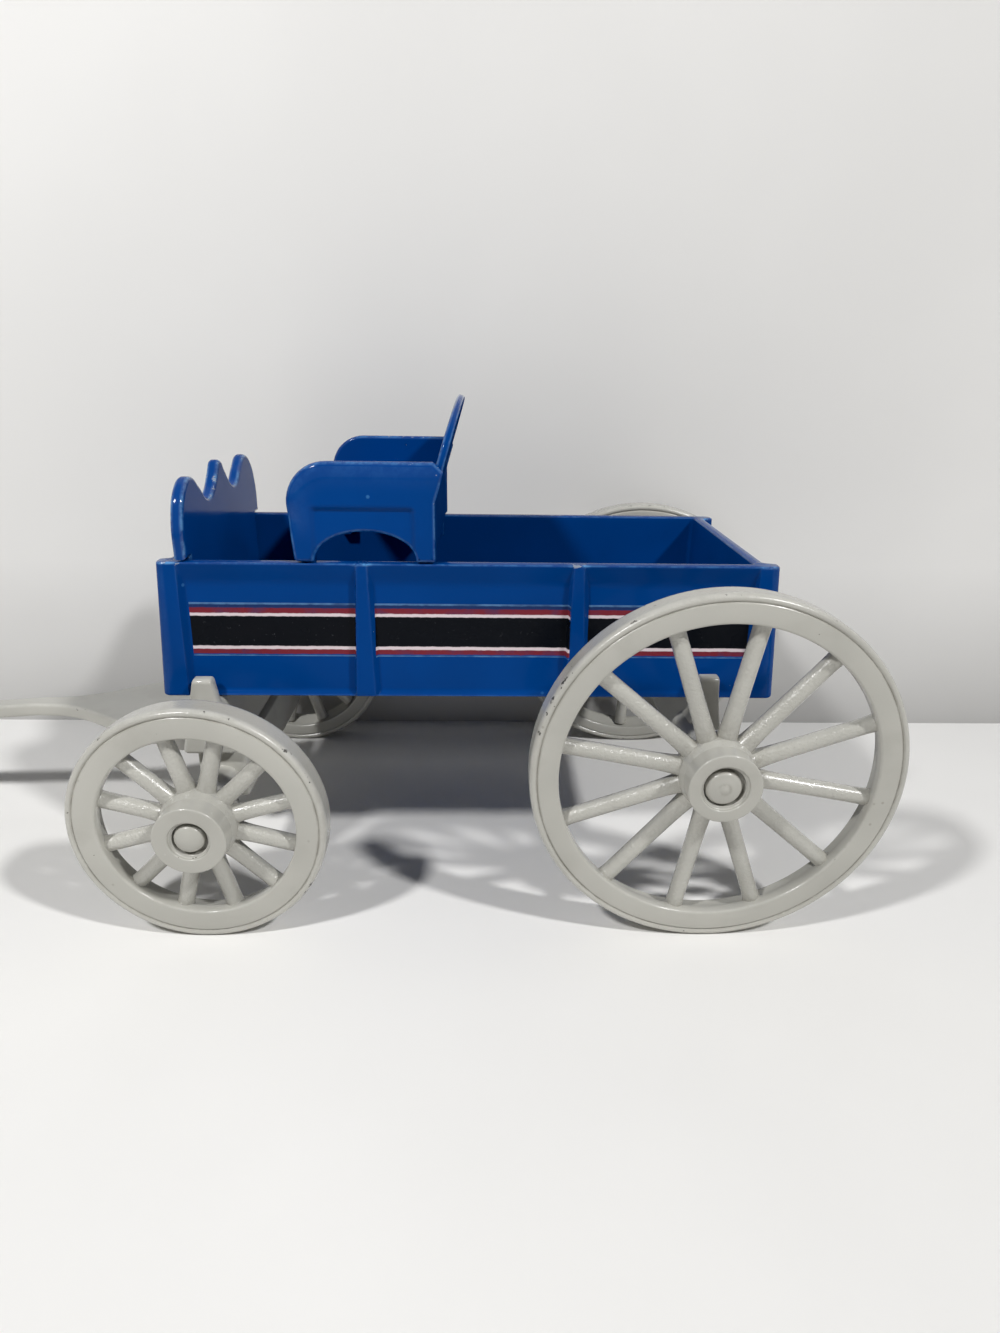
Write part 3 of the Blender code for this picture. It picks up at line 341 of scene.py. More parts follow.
def even(outline, spacing):
    """Split the long sides of an outline, so that no step is over the spacing."""
    dense = []
    for (u, v), (next_u, next_v) in following(outline):
        length = math.hypot(next_u - u, next_v - v)
        if length < 1e-4:
            continue
        parts = max(1, math.ceil(length / spacing))
        for part in range(parts):
            share = part / parts
            dense.append((u + (next_u - u) * share, v + (next_v - v) * share))
    return dense


def signed_area(outline):
    """Area inside an outline, positive when it runs to the left."""
    return sum(here[0] * after[1] - after[0] * here[1] for here, after in following(outline)) / 2


def shrunk(outline, distance):
    """The outline moved inwards by a distance; it has to run to the left."""
    moved = []
    for number, here in enumerate(outline):
        before = outline[number - 1]
        after = outline[(number + 1) % len(outline)]
        one = Vector((here[0] - before[0], here[1] - before[1])).normalized()
        two = Vector((after[0] - here[0], after[1] - here[1])).normalized()
        inward = Vector((-one.y, one.x))
        middle = inward + Vector((-two.y, two.x))
        if middle.length < 1e-6:
            middle = inward.copy()
        middle.normalize()
        stretch = distance * min(1.8, 1.0 / max(0.3, middle.dot(inward)))
        moved.append((here[0] + middle.x * stretch, here[1] + middle.y * stretch))
    return moved


def plate(shell, outline, low, high, edge, place, spacing=2.0, steps=4, relief=None, shine=None):
    """Flat casting from an outline, from low to high through its thickness, with rounded edges.

    relief(u, v) sinks the high side by that much; it and shine(u, v) add a painted highlight to
    its edge mask. place turns (u, v, w) into the wagon's frame.
    """
    outline = [point[:2] for point in outline]
    if signed_area(outline) < 0:
        outline = outline[::-1]
    outline = even(outline, spacing)
    start = len(shell.points)
    grid = 0.45

    # Painted highlight: a faint light line along the relief's slopes, or the shine where that is
    # stronger, put into the edge mask.
    def painted_highlight(u, v):
        change = (abs(relief(u + 0.2, v) - relief(u - 0.2, v))
                  + abs(relief(u, v + 0.2) - relief(u, v - 0.2)))
        return max(min(0.07, 0.3 * change), shine(u, v) if shine else 0.0)

    def ring(points, w, sunk, wear=None):
        if wear is None:
            wear = [painted_highlight(u, v) for u, v in points] if sunk else 0.0
        return shell.ring([(u, v, w - relief(u, v) if sunk else w) for u, v in points], wear)

    def cap(points, w, sunk):
        inside = []
        if sunk:
            (low_u, low_v), (high_u, high_v) = map(min, zip(*points)), map(max, zip(*points))
            across, up = int((high_u - low_u) / grid), int((high_v - low_v) / grid)
            inside = [(low_u + (high_u - low_u) * column / across,
                       low_v + (high_v - low_v) * row / up)
                      for column in range(1, across) for row in range(1, up)]
        border = list(following(list(range(len(points)))))
        found, _, faces, _, _, _ = delaunay_2d_cdt(
            [Vector(point) for point in points + inside], border, [], 1, 1e-4)
        numbers = ring(found, w, sunk)
        shell.faces += [tuple(numbers[corner] for corner in face) for face in faces]

    def face(sign, w, sunk):
        rows = [ring(shrunk(outline, inset), w - sign * drop, sunk, bend)
                for drop, inset, bend in quarter(steps, edge)]
        flat = shrunk(outline, edge + 0.12)
        rows.append(ring(flat, w, sunk))
        shell.skin(rows)
        cap(flat, w, sunk)
        return rows[0]

    shell.strip(face(1.0, high, relief is not None), face(-1.0, low, False))
    shell.place(place, start)


def lathe(shell, profile, segments, place, nook=None):
    """Turned form from a closed profile of (radius, height, edge) points about local Z."""
    start = len(shell.points)
    rows = []
    for radius, height, edge in profile:
        circle = [(radius * cos, radius * sin, height) for cos, sin in turns(0, 360, segments)]
        rows.append(shell.ring(circle[:-1] if radius > 1e-6 else circle[:1], edge,
                               nook(radius, height) if nook else 0.0))
    for row, after in following(rows):
        if len(row) > 1 and len(after) > 1:
            shell.strip(row, after)
        elif len(row) > 1 or len(after) > 1:
            (tip,), wide = sorted((row, after), key=len)
            shell.faces += [(one, two, tip) for one, two in following(wide)]
    shell.place(place, start)


def along_y(x, z, y, side=RIGHT):
    """Placement of a turned form whose height runs along Y, towards one side."""
    place = Matrix.Translation((x, y, z)) @ Matrix.Rotation(math.radians(-90), 4, "X")
    return place @ Matrix.Rotation(math.pi, 4, "X") if side == LEFT else place


def across_wagon(p):
    """Outline in the plane across the wagon: u is +Y, v is +Z, thickness along X."""
    return (p.z, p.x, p.y)


def side_on(side=RIGHT):
    """Outline in the plane along the wagon: u is +X, v is +Z, thickness outwards on one side."""
    return lambda p: (p.x, side * p.z, p.y)


# ---- nodes

def sum_of(operation, flipped=False):
    """Method that adds one Math node."""
    def method(self, other):
        first, second = (other, self) if flipped else (self, other)
        return Value(put(self.tree, "Math", {0: first, 1: second}, operation=operation))
    return method


class Value:
    """One output of a node, which sums can be written with."""

    def __init__(self, node, output=0):
        self.tree, self.node, self.socket = node.id_data, node, node.outputs[output]

    __add__, __sub__, __mul__ = sum_of("ADD"), sum_of("SUBTRACT"), sum_of("MULTIPLY")
    __truediv__, __pow__, most = sum_of("DIVIDE"), sum_of("POWER"), sum_of("MAXIMUM")
    __rsub__ = sum_of("SUBTRACT", flipped=True)

    def held(self):
        """This sum, held between 0 and 1."""
        self.node.use_clamp = True
        return self


def feed(node, inputs):
    """Set some of a node's inputs, or link values or the first outputs of other nodes to them."""
    for label, value in inputs.items():
        if isinstance(value, bpy.types.Node):
            value = Value(value)
        if isinstance(value, Value):
            node.id_data.links.new(value.socket, node.inputs[label])
        else:
            node.inputs[label].default_value = value


def put(tree, kind, inputs=None, **settings):
    """Add one node with its settings and inputs; a kind without Node in it is a shader node's."""
    node = tree.nodes.new(kind if "Node" in kind else "ShaderNode" + kind)
    for label, value in settings.items():
        setattr(node, label, value)
    feed(node, inputs or {})
    return node


def ramp(value, low, high, out_low=0.0, out_high=1.0):
    """Smooth step of a value between two limits."""
    return Value(put(value.tree, "MapRange", {0: value, 1: low, 2: high, 3: out_low, 4: out_high},
                     interpolation_type="SMOOTHSTEP"))


def blend(share, first, second):
    """Mix of two colours."""
    return Value(put(share.tree, "Mix", {0: share, 6: first, 7: second}, data_type="RGBA"), 2)


def toned(value, colour):
    """A colour made lighter or darker by a value."""
    return Value(put(value.tree, "HueSaturation", {"Value": value, "Color": colour}))


def place_in(tree):
    """Place on the object, in metres."""
    return Value(put(tree, "TexCoord"), "Object")


def height_in(place):
    """Height of a place."""
    return Value(put(place.tree, "SeparateXYZ", {0: place}), "Z")


def grain(place, scale, detail=2.0, roughness=0.5):
    """Noise of a given fineness, in features per metre."""
    return Value(put(place.tree, "TexNoise", {"Vector": place, "Scale": scale, "Detail": detail,
                                              "Roughness": roughness}), "Fac")


def mask(tree, label):
    """A value that the mesh's points hold."""
    return Value(put(tree, "Attribute", attribute_name=label), "Fac")


def bumps(height, strength, distance):
    """Normals of a fine relief."""
    return put(height.tree, "Bump", {"Strength": strength, "Distance": distance, "Height": height})


COLOUR, FLOAT, WHOLE = "NodeSocketColor", "NodeSocketFloat", "NodeSocketInt"
GEOMETRY, MATERIAL = "NodeSocketGeometry", "NodeSocketMaterial"


def new_tree(kind, name, inputs, outputs):
    """Empty node group with named sockets; gives it, its inputs' values and its output node."""
    tree = bpy.data.node_groups.new(name, kind)
    for way, sockets in (("INPUT", inputs), ("OUTPUT", outputs)):
        for socket_type, labels in sockets:
            for label in labels:
                tree.interface.new_socket(label, in_out=way, socket_type=socket_type)
    entry = tree.nodes.new("NodeGroupInput")
    given = {label: Value(entry, label) for _, labels in inputs for label in labels}
    return tree, given, tree.nodes.new("NodeGroupOutput")


# ---- materials

def worn_enamel_group():
    """Sprayed enamel on a casting: lighter thin paint along the edges, partly a painted highlight,
    small chips, dust and grime.
    """
    group, given, out = new_tree(
        "ShaderNodeTree", "worn_enamel",
        ((COLOUR, ("Paint", "Thin Paint", "Bare Metal", "Grime")),
         (FLOAT, ("Edge", "Nook", "Edge Wear", "Chips", "Grime Amount", "Gloss"))),
        ((COLOUR, ("Color",)), (FLOAT, ("Roughness", "Metallic", "Height"))))
    where = place_in(group)
    broad, medium = grain(where, 38.0), grain(where, 240.0, 3.0, 0.6)
    fine, skin = grain(where, 1100.0, 2.0, 0.6), grain(where, 420.0, 1.0, 0.4)
    patchy = medium * 0.7 + fine * 0.3

    # Lighter thin paint where the edge mask is high: worn paint, and partly a painted highlight
    # along rounded edges, the seat arm and the seat's relief.
    thin = (given["Edge"] ** 2.0 * ramp(patchy, 0.40, 0.60) * given["Edge Wear"]).held()
    paint = toned(ramp(broad, 0.3, 0.7, 0.93, 1.06), given["Paint"])
    paint = blend(thin, paint, given["Thin Paint"])

    cells = put(group, "TexVoronoi", {"Vector": where, "Scale": 330.0})
    chance = put(group, "SeparateColor", {0: Value(cells, "Color")})
    reach = Value(cells, "Distance")
    speck = ramp(Value(chance, 0), 0.965, 0.99) * ramp(reach, 0.16, 0.08)
    dark_speck = ramp(Value(chance, 1), 0.97, 0.995) * ramp(reach, 0.13, 0.07)
    paint = blend(speck * 0.45, paint, given["Thin Paint"])
    paint = blend(dark_speck * 0.35, paint, given["Grime"])

    film = ramp(grain(where, 90.0, 3.0), 0.52, 0.75) * 0.25
    dirt = given["Nook"] * ramp(patchy, 0.36, 0.62) + film
    dirt = (dirt * given["Grime Amount"]).held()
    paint = blend(dirt, paint, given["Grime"])

    cluster = (grain(where, 70.0, 1.0) - 0.5) * 0.5
    flaky = given["Edge"] * 0.13 + grain(where, 620.0, 3.0, 0.65) + cluster
    chip = (ramp(flaky, 0.815, 0.835) * given["Chips"]).held()
    rough = given["Gloss"] + ramp(broad, 0.35, 0.75, 0.0, 0.05) + fine * 0.04
    feed(out, {"Color": blend(chip, paint, given["Bare Metal"]),
               "Roughness": (rough + dirt * 0.35 + chip * 0.30).held(),
               "Metallic": chip * 0.6,
               "Height": skin * 0.5 + fine * 0.08 - chip * 0.8 + speck * 0.5})
    return group


def surface(name, base, ior=1.45, specular=0.5):
    """Material with one Principled shader; gives the material, its tree and the shader."""
    material = bpy.data.materials.new(name)
    material.use_nodes = True
    shader = material.node_tree.nodes["Principled BSDF"]
    shader.inputs["Base Color"].default_value = (*base, 1)
    shader.inputs["IOR"].default_value = ior
    shader.inputs["Specular IOR Level"].default_value = specular
    material.diffuse_color = (*base, 1)
    return material, material.node_tree, shader


WORN_ENAMEL = worn_enamel_group()


def enamel(name, paint, thin, metal, grime, gloss, bump, edge_wear, chips, grime_amount, ior,
           specular, coat):
    """Enamel finish on one kind of piece; its coat follows a mask on the mesh."""
    material, tree, shader = surface(name, paint, ior, specular)
    worn = put(tree, "Group", {
        "Paint": (*paint, 1), "Thin Paint": (*thin, 1), "Bare Metal": (*metal, 1),
        "Grime": (*grime, 1), "Edge": mask(tree, "edge"), "Nook": mask(tree, "nook"),
        "Edge Wear": edge_wear, "Chips": chips, "Grime Amount": grime_amount, "Gloss": gloss},
        node_tree=WORN_ENAMEL)
    if coat:
        label, weight, roughness = coat
        feed(shader, {"Coat Weight": (mask(tree, label) * weight).held()})
        shader.inputs["Coat Roughness"].default_value = roughness
    grit = mask(tree, "grit") * grain(place_in(tree), 1700.0, 2.0, 0.6)
    feed(shader, {"Base Color": Value(worn, "Color"), "Roughness": Value(worn, "Roughness"),
                  "Metallic": Value(worn, "Metallic"),
                  "Normal": bumps(Value(worn, "Height") + grit, bump, 0.00006)})
    return material


BLUE = dict(paint=(0.0003, 0.046, 0.222), thin=(0.07, 0.26, 0.56), metal=(0.30, 0.34, 0.40),
            grime=(0.004, 0.012, 0.04), gloss=0.08, bump=0.35, edge_wear=0.5, chips=0.8,
            grime_amount=0.25, ior=1.11, specular=0.5, coat=("edge", 0.75, 0.05))
# The footboard's edges get brighter thin paint and more edge wear: worn paint and partly a painted
# highlight.
FOOTBOARD_BLUE = dict(BLUE, thin=(0.10, 0.31, 0.60), edge_wear=0.6, ior=1.20,
                      coat=("edge", 1.1, 0.05))
# Painted shade: a darker, rough copy of the blue for the seat's rear faces.
DULL_SHADED_BLUE = dict(BLUE, paint=(0.0003, 0.030, 0.150), thin=(0.05, 0.15, 0.30), gloss=0.6,
                 edge_wear=0.3, chips=0.5, ior=1.02, specular=0.1, coat=None)
OFF_WHITE = dict(paint=(0.466, 0.458, 0.416), thin=(0.64, 0.63, 0.59), metal=(0.05, 0.045, 0.04),
                 grime=(0.17, 0.155, 0.12), gloss=0.15, bump=0.6, edge_wear=0.30, chips=0.9,
                 grime_amount=0.5, ior=1.45, specular=0.5, coat=("grit", 0.15, 0.20))
BLUE_ENAMEL = enamel("sprayed_blue_enamel", **BLUE)
FOOTBOARD_ENAMEL = enamel("footboard_enamel", **FOOTBOARD_BLUE)
DULL_SHADED_BLUE_ENAMEL = enamel("dull_shaded_blue_enamel", **DULL_SHADED_BLUE)
OFF_WHITE_ENAMEL = enamel("sprayed_off_white_enamel", **OFF_WHITE)


def steel_finish():
    """Plain steel with faint turning marks and a little tarnish."""
    material, tree, shader = surface("turned_steel", (0.42, 0.41, 0.39))
    where = place_in(tree)
    tarnish = grain(where, 300.0, 4.0, 0.6)
    marks = grain(Value(put(tree, "Mapping", {0: where, 3: (1.0, 14.0, 1.0)})), 500.0)
    clean, dull = (0.44, 0.43, 0.41, 1), (0.20, 0.17, 0.13, 1)
    shader.inputs["Metallic"].default_value = 1.0
    feed(shader, {"Base Color": blend(ramp(tarnish, 0.45, 0.7), clean, dull),
                  "Roughness": ramp(tarnish, 0.3, 0.8, 0.26, 0.5) + marks * 0.1,
                  "Normal": bumps(marks, 0.3, 0.00003)})
    return material


def striped_film():
    """Clear film with a red, white and black band, which follows the height on the bed's side."""
    material, tree, shader = surface("striped_film", (0.02, 0.02, 0.03), 1.17, 0.5)
    where = place_in(tree)
    height = height_in(where) / MM + (grain(where, 700.0, 3.0) - 0.5) * 0.28
    blue, faded = (0.0008, 0.050, 0.235, 1), (0.012, 0.032, 0.12, 1)
    white, black = (0.72, 0.62, 0.65, 1), (0.0025, 0.0035, 0.006, 1)
    red = blend(ramp(grain(where, 190.0, 4.0), 0.48, 0.75), (0.19, 0.022, 0.035, 1),
                (0.10, 0.035, 0.085, 1))
    colour = blend(ramp(height, 55.9, 56.1), blue, red)
    # Where each band begins, upwards
    for limit, band in ((57.05, white), (57.75, black), (64.30, white), (64.95, red),
                        (66.10, faded)):
        colour = blend(ramp(height, limit - 0.09, limit + 0.09), colour, band)
    rim = ramp(height, FILM_HIGH - 0.5, FILM_HIGH - 0.25).most(
        ramp(height, FILM_LOW + 0.38, FILM_LOW + 0.18))
    rim *= ramp(grain(where, 260.0, 3.0), 0.32, 0.62, 0.25, 0.75)
    colour = blend(rim, colour, (0.11, 0.25, 0.47, 1))
    dust = ramp(grain(where, 1500.0, 2.0, 0.7), 0.66, 0.78, 0.0, 0.12)
    feed(shader, {"Base Color": blend(dust, colour, (0.25, 0.26, 0.28, 1)),
                  "Roughness": ramp(grain(where, 120.0, 3.0), 0.3, 0.7, 0.16, 0.30),
                  "Normal": bumps(grain(where, 520.0), 0.4, 0.00004)})
    return material


# ---- making pieces

def make_piece(name, mesh, body, *nodes, material=OFF_WHITE_ENAMEL, slot="off_white_enamel"):
    """Finished piece from a mesh: smooth, with its material, on its body, in place of CAD nodes."""
    mesh.name = name
    mesh.materials.clear()
    mesh.materials.append(material)
    mesh.shade_smooth()
    mesh.set_sharp_from_angle(angle=math.radians(42))
    obj = add_object(name, mesh)
    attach(obj, body)
    if nodes:
        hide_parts(*nodes)
    return obj


def joined(name, meshes):
    """One mesh from several."""
    result = bpy.data.meshes.new(name)
    with editing(result, *meshes):
        pass
    return result


# ---- bed

def lean(z):
    """How far the bed's outer faces stand out at a height."""
    return BED_DRAFT * (BED_TOP - z) / (BED_TOP - DECK)


def eased(value):
    """Straight ramp from 0 to 1 with softened ends."""
    value = max(0.0, min(1.0, value))
    soft = 0.2
    if value < soft:
        return value * value / (2 * soft * (1 - soft))
    if value > 1 - soft:
        return 1 - (1 - value) ** 2 / (2 * soft * (1 - soft))
    return (value - soft / 2) / (1 - soft)


def panel_bounds(z):
    """Front and rear limits of the three sunk panels at a height, at the wall's outer face."""
    half = (RIB_TOP + (RIB_FOOT - RIB_TOP) * (BED_TOP - z) / (BED_TOP - DECK)) / 2
    return ((BED_FRONT_X + POST_WIDTH, RIBS_X[0] - half), (RIBS_X[0] + half, RIBS_X[1] - half),
            (RIBS_X[1] + half, BED_REAR_X - POST_WIDTH))


def softer_least(values):
    """Least of some shares, with the crease between them rounded off."""
    least, soft = min(values), 0.10
    for value in values:
        if value is not least and value - least < soft:
            least -= (soft - (value - least)) ** 2 / (4 * soft)
    return max(0.0, least)


def side_depth(x, z):
    """How far the bed's side is sunk at a place; the panels run out gently under the rim."""
    for front, rear in panel_bounds(z):
        if front < x < rear:
            inside = min((x - front) / PANEL_FLANK, (rear - x) / PANEL_FLANK_REAR)
            below, above = (BED_TOP - 0.1 - z) / RIM_SLOPE, (z - DECK + 0.2) / 1.2
            return PANEL_DEPTH * softer_least([1.0, inside, max(0.0, below), max(0.0, above)])
    return 0.0


def side_edge(x, z):
    """Wear along the ribs' and posts' corners, partly a painted highlight line on them."""
    nearest = min(abs(x - limit) for bounds in panel_bounds(z) for limit in bounds)
    return max(0.0, 0.55 - nearest / 0.7) * (0.35 + 0.65 * max(0.0, (z - 66.0) / 10.0))


def top_scuff(x):
    """Rubbed paint where the ribs and posts reach the top edge."""
    nearest = min(abs(x - place) for place in (*RIBS_X, BED_FRONT_X + 2.0, BED_REAR_X - 2.0))
    return max(0.0, 1.0 - (nearest / 2.6) ** 2)


def side_columns():
    """Places along the bed's side, close together at the ribs and posts."""
    x, end = BED_FRONT_X + POST_ROUND + 0.15, BED_REAR_X - POST_ROUND - 0.15
    stops = [BED_FRONT_X + POST_WIDTH, BED_REAR_X - POST_WIDTH]
    stops += [rib + flank for rib in RIBS_X for flank in (-2.1, 2.1)]
    xs = []
    while x < end:
        xs.append(x)
        near = min(abs(x - stop) for stop in stops)
        x += 0.16 if near < 1.8 else (0.5 if near < 4 else 1.8)
    return xs + [end]


def side_heights():
    """Heights of the rows between the rounded edges of the bed's side, close together near both."""
    z = DECK + CAST_EDGE
    heights = []
    while z < BED_TOP - CAST_EDGE:
        heights.append(z)
        low, high = z - DECK, BED_TOP - z
        z += 0.35 if min(low, high) < 2.2 else (0.55 if high < 6.5 else 1.6)
    return heights[1:]


SIDE_COLUMNS = side_columns()


def bed_loop(z, inset=0.0):
    """The bed's outer outline at a height, running left from the front of the near side."""
    half = BED_HALF + lean(z)
    front, rear = BED_FRONT_X - lean(z), BED_REAR_X + lean(z)
    side_in, front_in, rear_in = half - POST_ROUND, front + POST_ROUND, rear - POST_ROUND

    def post(x, y, first):
        """Quarter circle round a post's outer corner, from an angle on."""
        return [(x + POST_ROUND * cos, y + POST_ROUND * sin, 0.25)
                for cos, sin in turns(first, first + 90, 6)]

    def end(x_out, depth, outward):
        """One set-back end, from the post that the outline reaches first to the other."""
        wall_half, inner = half - POST_WIDTH, x_out - outward * depth
        corners = [(x_out, -side_in, 0.0), (x_out, -(wall_half + depth / 2), 0.55),
                   (inner, -wall_half, 0.7), (inner, 0.0, 0.0)]
        face = [(x, outward * y, edge * 0.6)
                for x, y, edge in rounded(corners, closed=False, fineness=16.0)[1:]]
        return face + [(x, -y, edge) for x, y, edge in reversed(face[:-1])]

    near = [(x, side_depth(x, z) - half, side_edge(x, z)) for x in SIDE_COLUMNS]
    points = (near + post(rear_in, -side_in, -90) + end(rear, TAILGATE_INSET, 1.0)
              + post(rear_in, side_in, 0) + [(x, -y, edge) for x, y, edge in reversed(near)]
              + post(front_in, side_in, 90) + end(front, FRONT_INSET, -1.0)
              + post(front_in, -side_in, 180))
    if inset:
        points = [(x, y, point[2]) for (x, y), point in zip(shrunk(points, inset), points)]
    return points


def cavity_loop(outer, z, widen=0.0):
    """The inside outline at a height, with one point for each point of the outer outline."""
    tight = CAVITY_DRAFT * (BED_TOP - z) / (BED_TOP - DECK) - widen
    front, rear, half = CAVITY[0] + tight, CAVITY[1] - tight, CAVITY[2] - tight
    corner = CAVITY_CORNER
    points = []
    for x, y, _ in outer:
        core = Vector((min(rear - corner, max(front + corner, x)),
                       min(half - corner, max(corner - half, y))))
        away = Vector((x, y)) - core
        away = away.normalized() if away.length > 1e-6 else Vector((0.0, 1.0))
        points.append((core.x + away.x * corner, core.y + away.y * corner))
    return points


def wagon_bed():
    """Bed: drafted ribbed sides, posts, set-back ends, open inside.

    Only the underside gets filled; inside the floor's rim its upper face shows.
    """
    shell = Shell()
    outer = bed_loop(BED_TOP, CAST_EDGE)
    rows = []

    def outside(z, inset, wear):
        loop = bed_loop(z, inset)
        rows.append(shell.ring([(x, y, z) for x, y, _ in loop],
                               [wear(x, edge) for x, _, edge in loop]))

    def inside(z, widen=0.0, edge=0.0, nook=0.0):
        loop = cavity_loop(outer, z, widen)
        rows.append(shell.ring([(x, y, z) for x, y in loop], edge, nook))

    for drop, inset, bend in quarter(4, CAST_EDGE):
        outside(DECK + drop, inset, lambda x, edge: 0.5 * bend)
    rows.reverse()
    for z in side_heights():
        outside(z, 0.0, lambda x, edge: edge)
    for drop, inset, bend in quarter(6, CAST_EDGE):
        outside(BED_TOP - drop, inset, lambda x, edge: max(edge, 0.85 * bend) + 0.9 * top_scuff(x))
    for drop, widen, bend in reversed(list(quarter(5, LIP))):
        inside(BED_TOP - drop, widen, 0.8 * bend)
    for z in (74.6, 72.0, 66.0, 60.0, 55.0, 52.0):
        inside(z, nook=max(0.0, (55.0 - z) / 6.0))
    for drop, inset, _ in quarter(4, FLOOR_FILLET):
        inside(FLOOR_TOP + drop, -inset, nook=1.0)
    inside(FLOOR_TOP, -FLOOR_FILLET - 1.6, nook=0.25)
    shell.skin(rows)
    return shell.mesh("wagon_bed", fill=True)


make_piece("bed", wagon_bed(), "wagon", "wagon_bed", material=BLUE_ENAMEL, slot="blue_enamel")


def film_strip(side, front, rear):
    """One length of film that follows the sunk panel and the flanks beside it."""
    shell = Shell()
    columns = [front] + [x for x in SIDE_COLUMNS if front + 0.1 < x < rear - 0.1] + [rear]
    heights = [FILM_LOW + (FILM_HIGH - FILM_LOW) * step / 26 for step in range(27)]

    def row(z, lift):
        wall = BED_HALF + lean(z)
        return shell.ring([(x, side * (wall - side_depth(x, z) + lift), z) for x in columns])

    raised, under = [[row(z, lift) for z in heights] for lift in (FILM_FACE, FILM_BACK)]
    for rows in (raised, under, (raised[0], under[0]), (raised[-1], under[-1])):
        shell.skin(rows, closed=False)
    for end in (0, -1):
        shell.strip([row[end] for row in raised], [row[end] for row in under], closed=False)
    return shell.mesh("film")


STRIPED_FILM = striped_film()
for side, side_name in ((LEFT, "left"), (RIGHT, "right")):
    strips = [film_strip(side, front, rear) for front, rear in FILM_SPANS]
    make_piece("film_" + side_name, joined("film_" + side_name, strips), "wagon",
               material=STRIPED_FILM, slot="blue_enamel")


# ---- footboard

def dash_board():
    """Footboard with three humps and a plain foot inside the bed."""
    half = BED_HALF - 0.3
    humps = ((3.3, 14.448), (6.6, 11.424), (10.8, 10.2), (15.8, 13.524), (20.2, 16.1),
             (25.04, 14.49), (half - CAST_EDGE, 8.05))
    right = [(u, BED_TOP + v, True) for u, v in humps]
    right += [(half, BED_TOP + 0.3, False), (DASH_FOOT_HALF, BED_TOP + 0.3, False),
              (DASH_FOOT_HALF, 49.1, False)]
    left = [(-u, v, smooth) for u, v, smooth in reversed(right)]
    outline = flowing([(0.0, BED_TOP + 17.2, True)] + right + left)
    shell = Shell()
    plate(shell, outline, *DASH_X, DASH_EDGE, across_wagon, spacing=1.2, steps=6)
    return shell.mesh("footboard")


make_piece("footboard", dash_board(), "wagon", "dash_board", material=FOOTBOARD_ENAMEL,
           slot="blue_enamel")


# ---- seat

def seat_side_outline():
    """Side of the seat: round arm, two feet and the arch between them."""
    front, rear = SEAT_X
    top = SEAT_BASE + ARM_HEIGHT
    bend = SEAT_BASE + PLANK_TOP
    run = math.tan(math.radians(BACK_LEAN)) * (top - bend)
    foot = front + FOOT_TAPER
    arch_front, arch_rear = foot + 4.0, rear - 4.1
    corners = [(rear, SEAT_BASE, 0.7), (rear, bend, 3.0),
               (rear + run * 0.75, bend + (top - bend) * 0.75, 0.7), (rear - 0.4, top, 0.9)]
    corners += [(front + ARM_ROUND * (1 + cos), top - ARM_ROUND * (1 - sin), 0.0)
                for cos, sin in turns(90, 180, 12)]
    corners.append((foot, SEAT_BASE, 0.9))
    middle, half = (arch_front + arch_rear) / 2, (arch_rear - arch_front) / 2
    corners += [(middle + half * cos, SEAT_BASE + 6.2 * sin, 0.6 if abs(cos) == 1.0 else 0.0)
                for cos, sin in turns(180, 0, 24)]
    return rounded(corners)


def arm_depth(u, v):
    """Distance of a point on the seat's side from the arm's front and top edge."""
    front, top = SEAT_X[0], SEAT_BASE + ARM_HEIGHT
    middle_u, middle_v = front + ARM_ROUND, top - ARM_ROUND
    if v < middle_v:
        return u - front - FOOT_TAPER * (middle_v - v) / (middle_v - SEAT_BASE)
    return ARM_ROUND - math.hypot(u - middle_u, v - middle_v) if u < middle_u else top - v


def arm_share(u, v, width):
    """Share of a soft band of a given width along the arm's edge; it fades down the front foot."""
    fade = eased((v - SEAT_BASE - 3.0) / 6.0)
    return fade * max(0.0, 1 - max(0.0, arm_depth(u, v)) / width)


def arm_painted_highlight(u, v):
    """Painted highlight: a broad soft band under the arm's edge, put into the edge mask so that it
    gets the lighter thin paint.
    """
    return 0.45 * eased(arm_share(u, v, 6.5))


def seat_relief(u, v):
    """Sunk field between the seat's feet, under the arm band, and the arm's softly rolled edge."""
    front, rear = SEAT_X[0] + 4.6, SEAT_X[1] - 4.1
    sides = min((u - front) / 1.3, (rear - u) / 0.9)
    top = (SEAT_BASE + PLANK_TOP - 0.9 - v) / 0.9
    ramp_x, ramp_z = max(0.0, min(1.0, sides)), max(0.0, min(1.0, top))
    share = 1 - min(1.0, math.hypot(1 - ramp_x, 1 - ramp_z))
    return 0.7 * eased(share) + 0.7 * arm_share(u, v, 3.4) ** 2


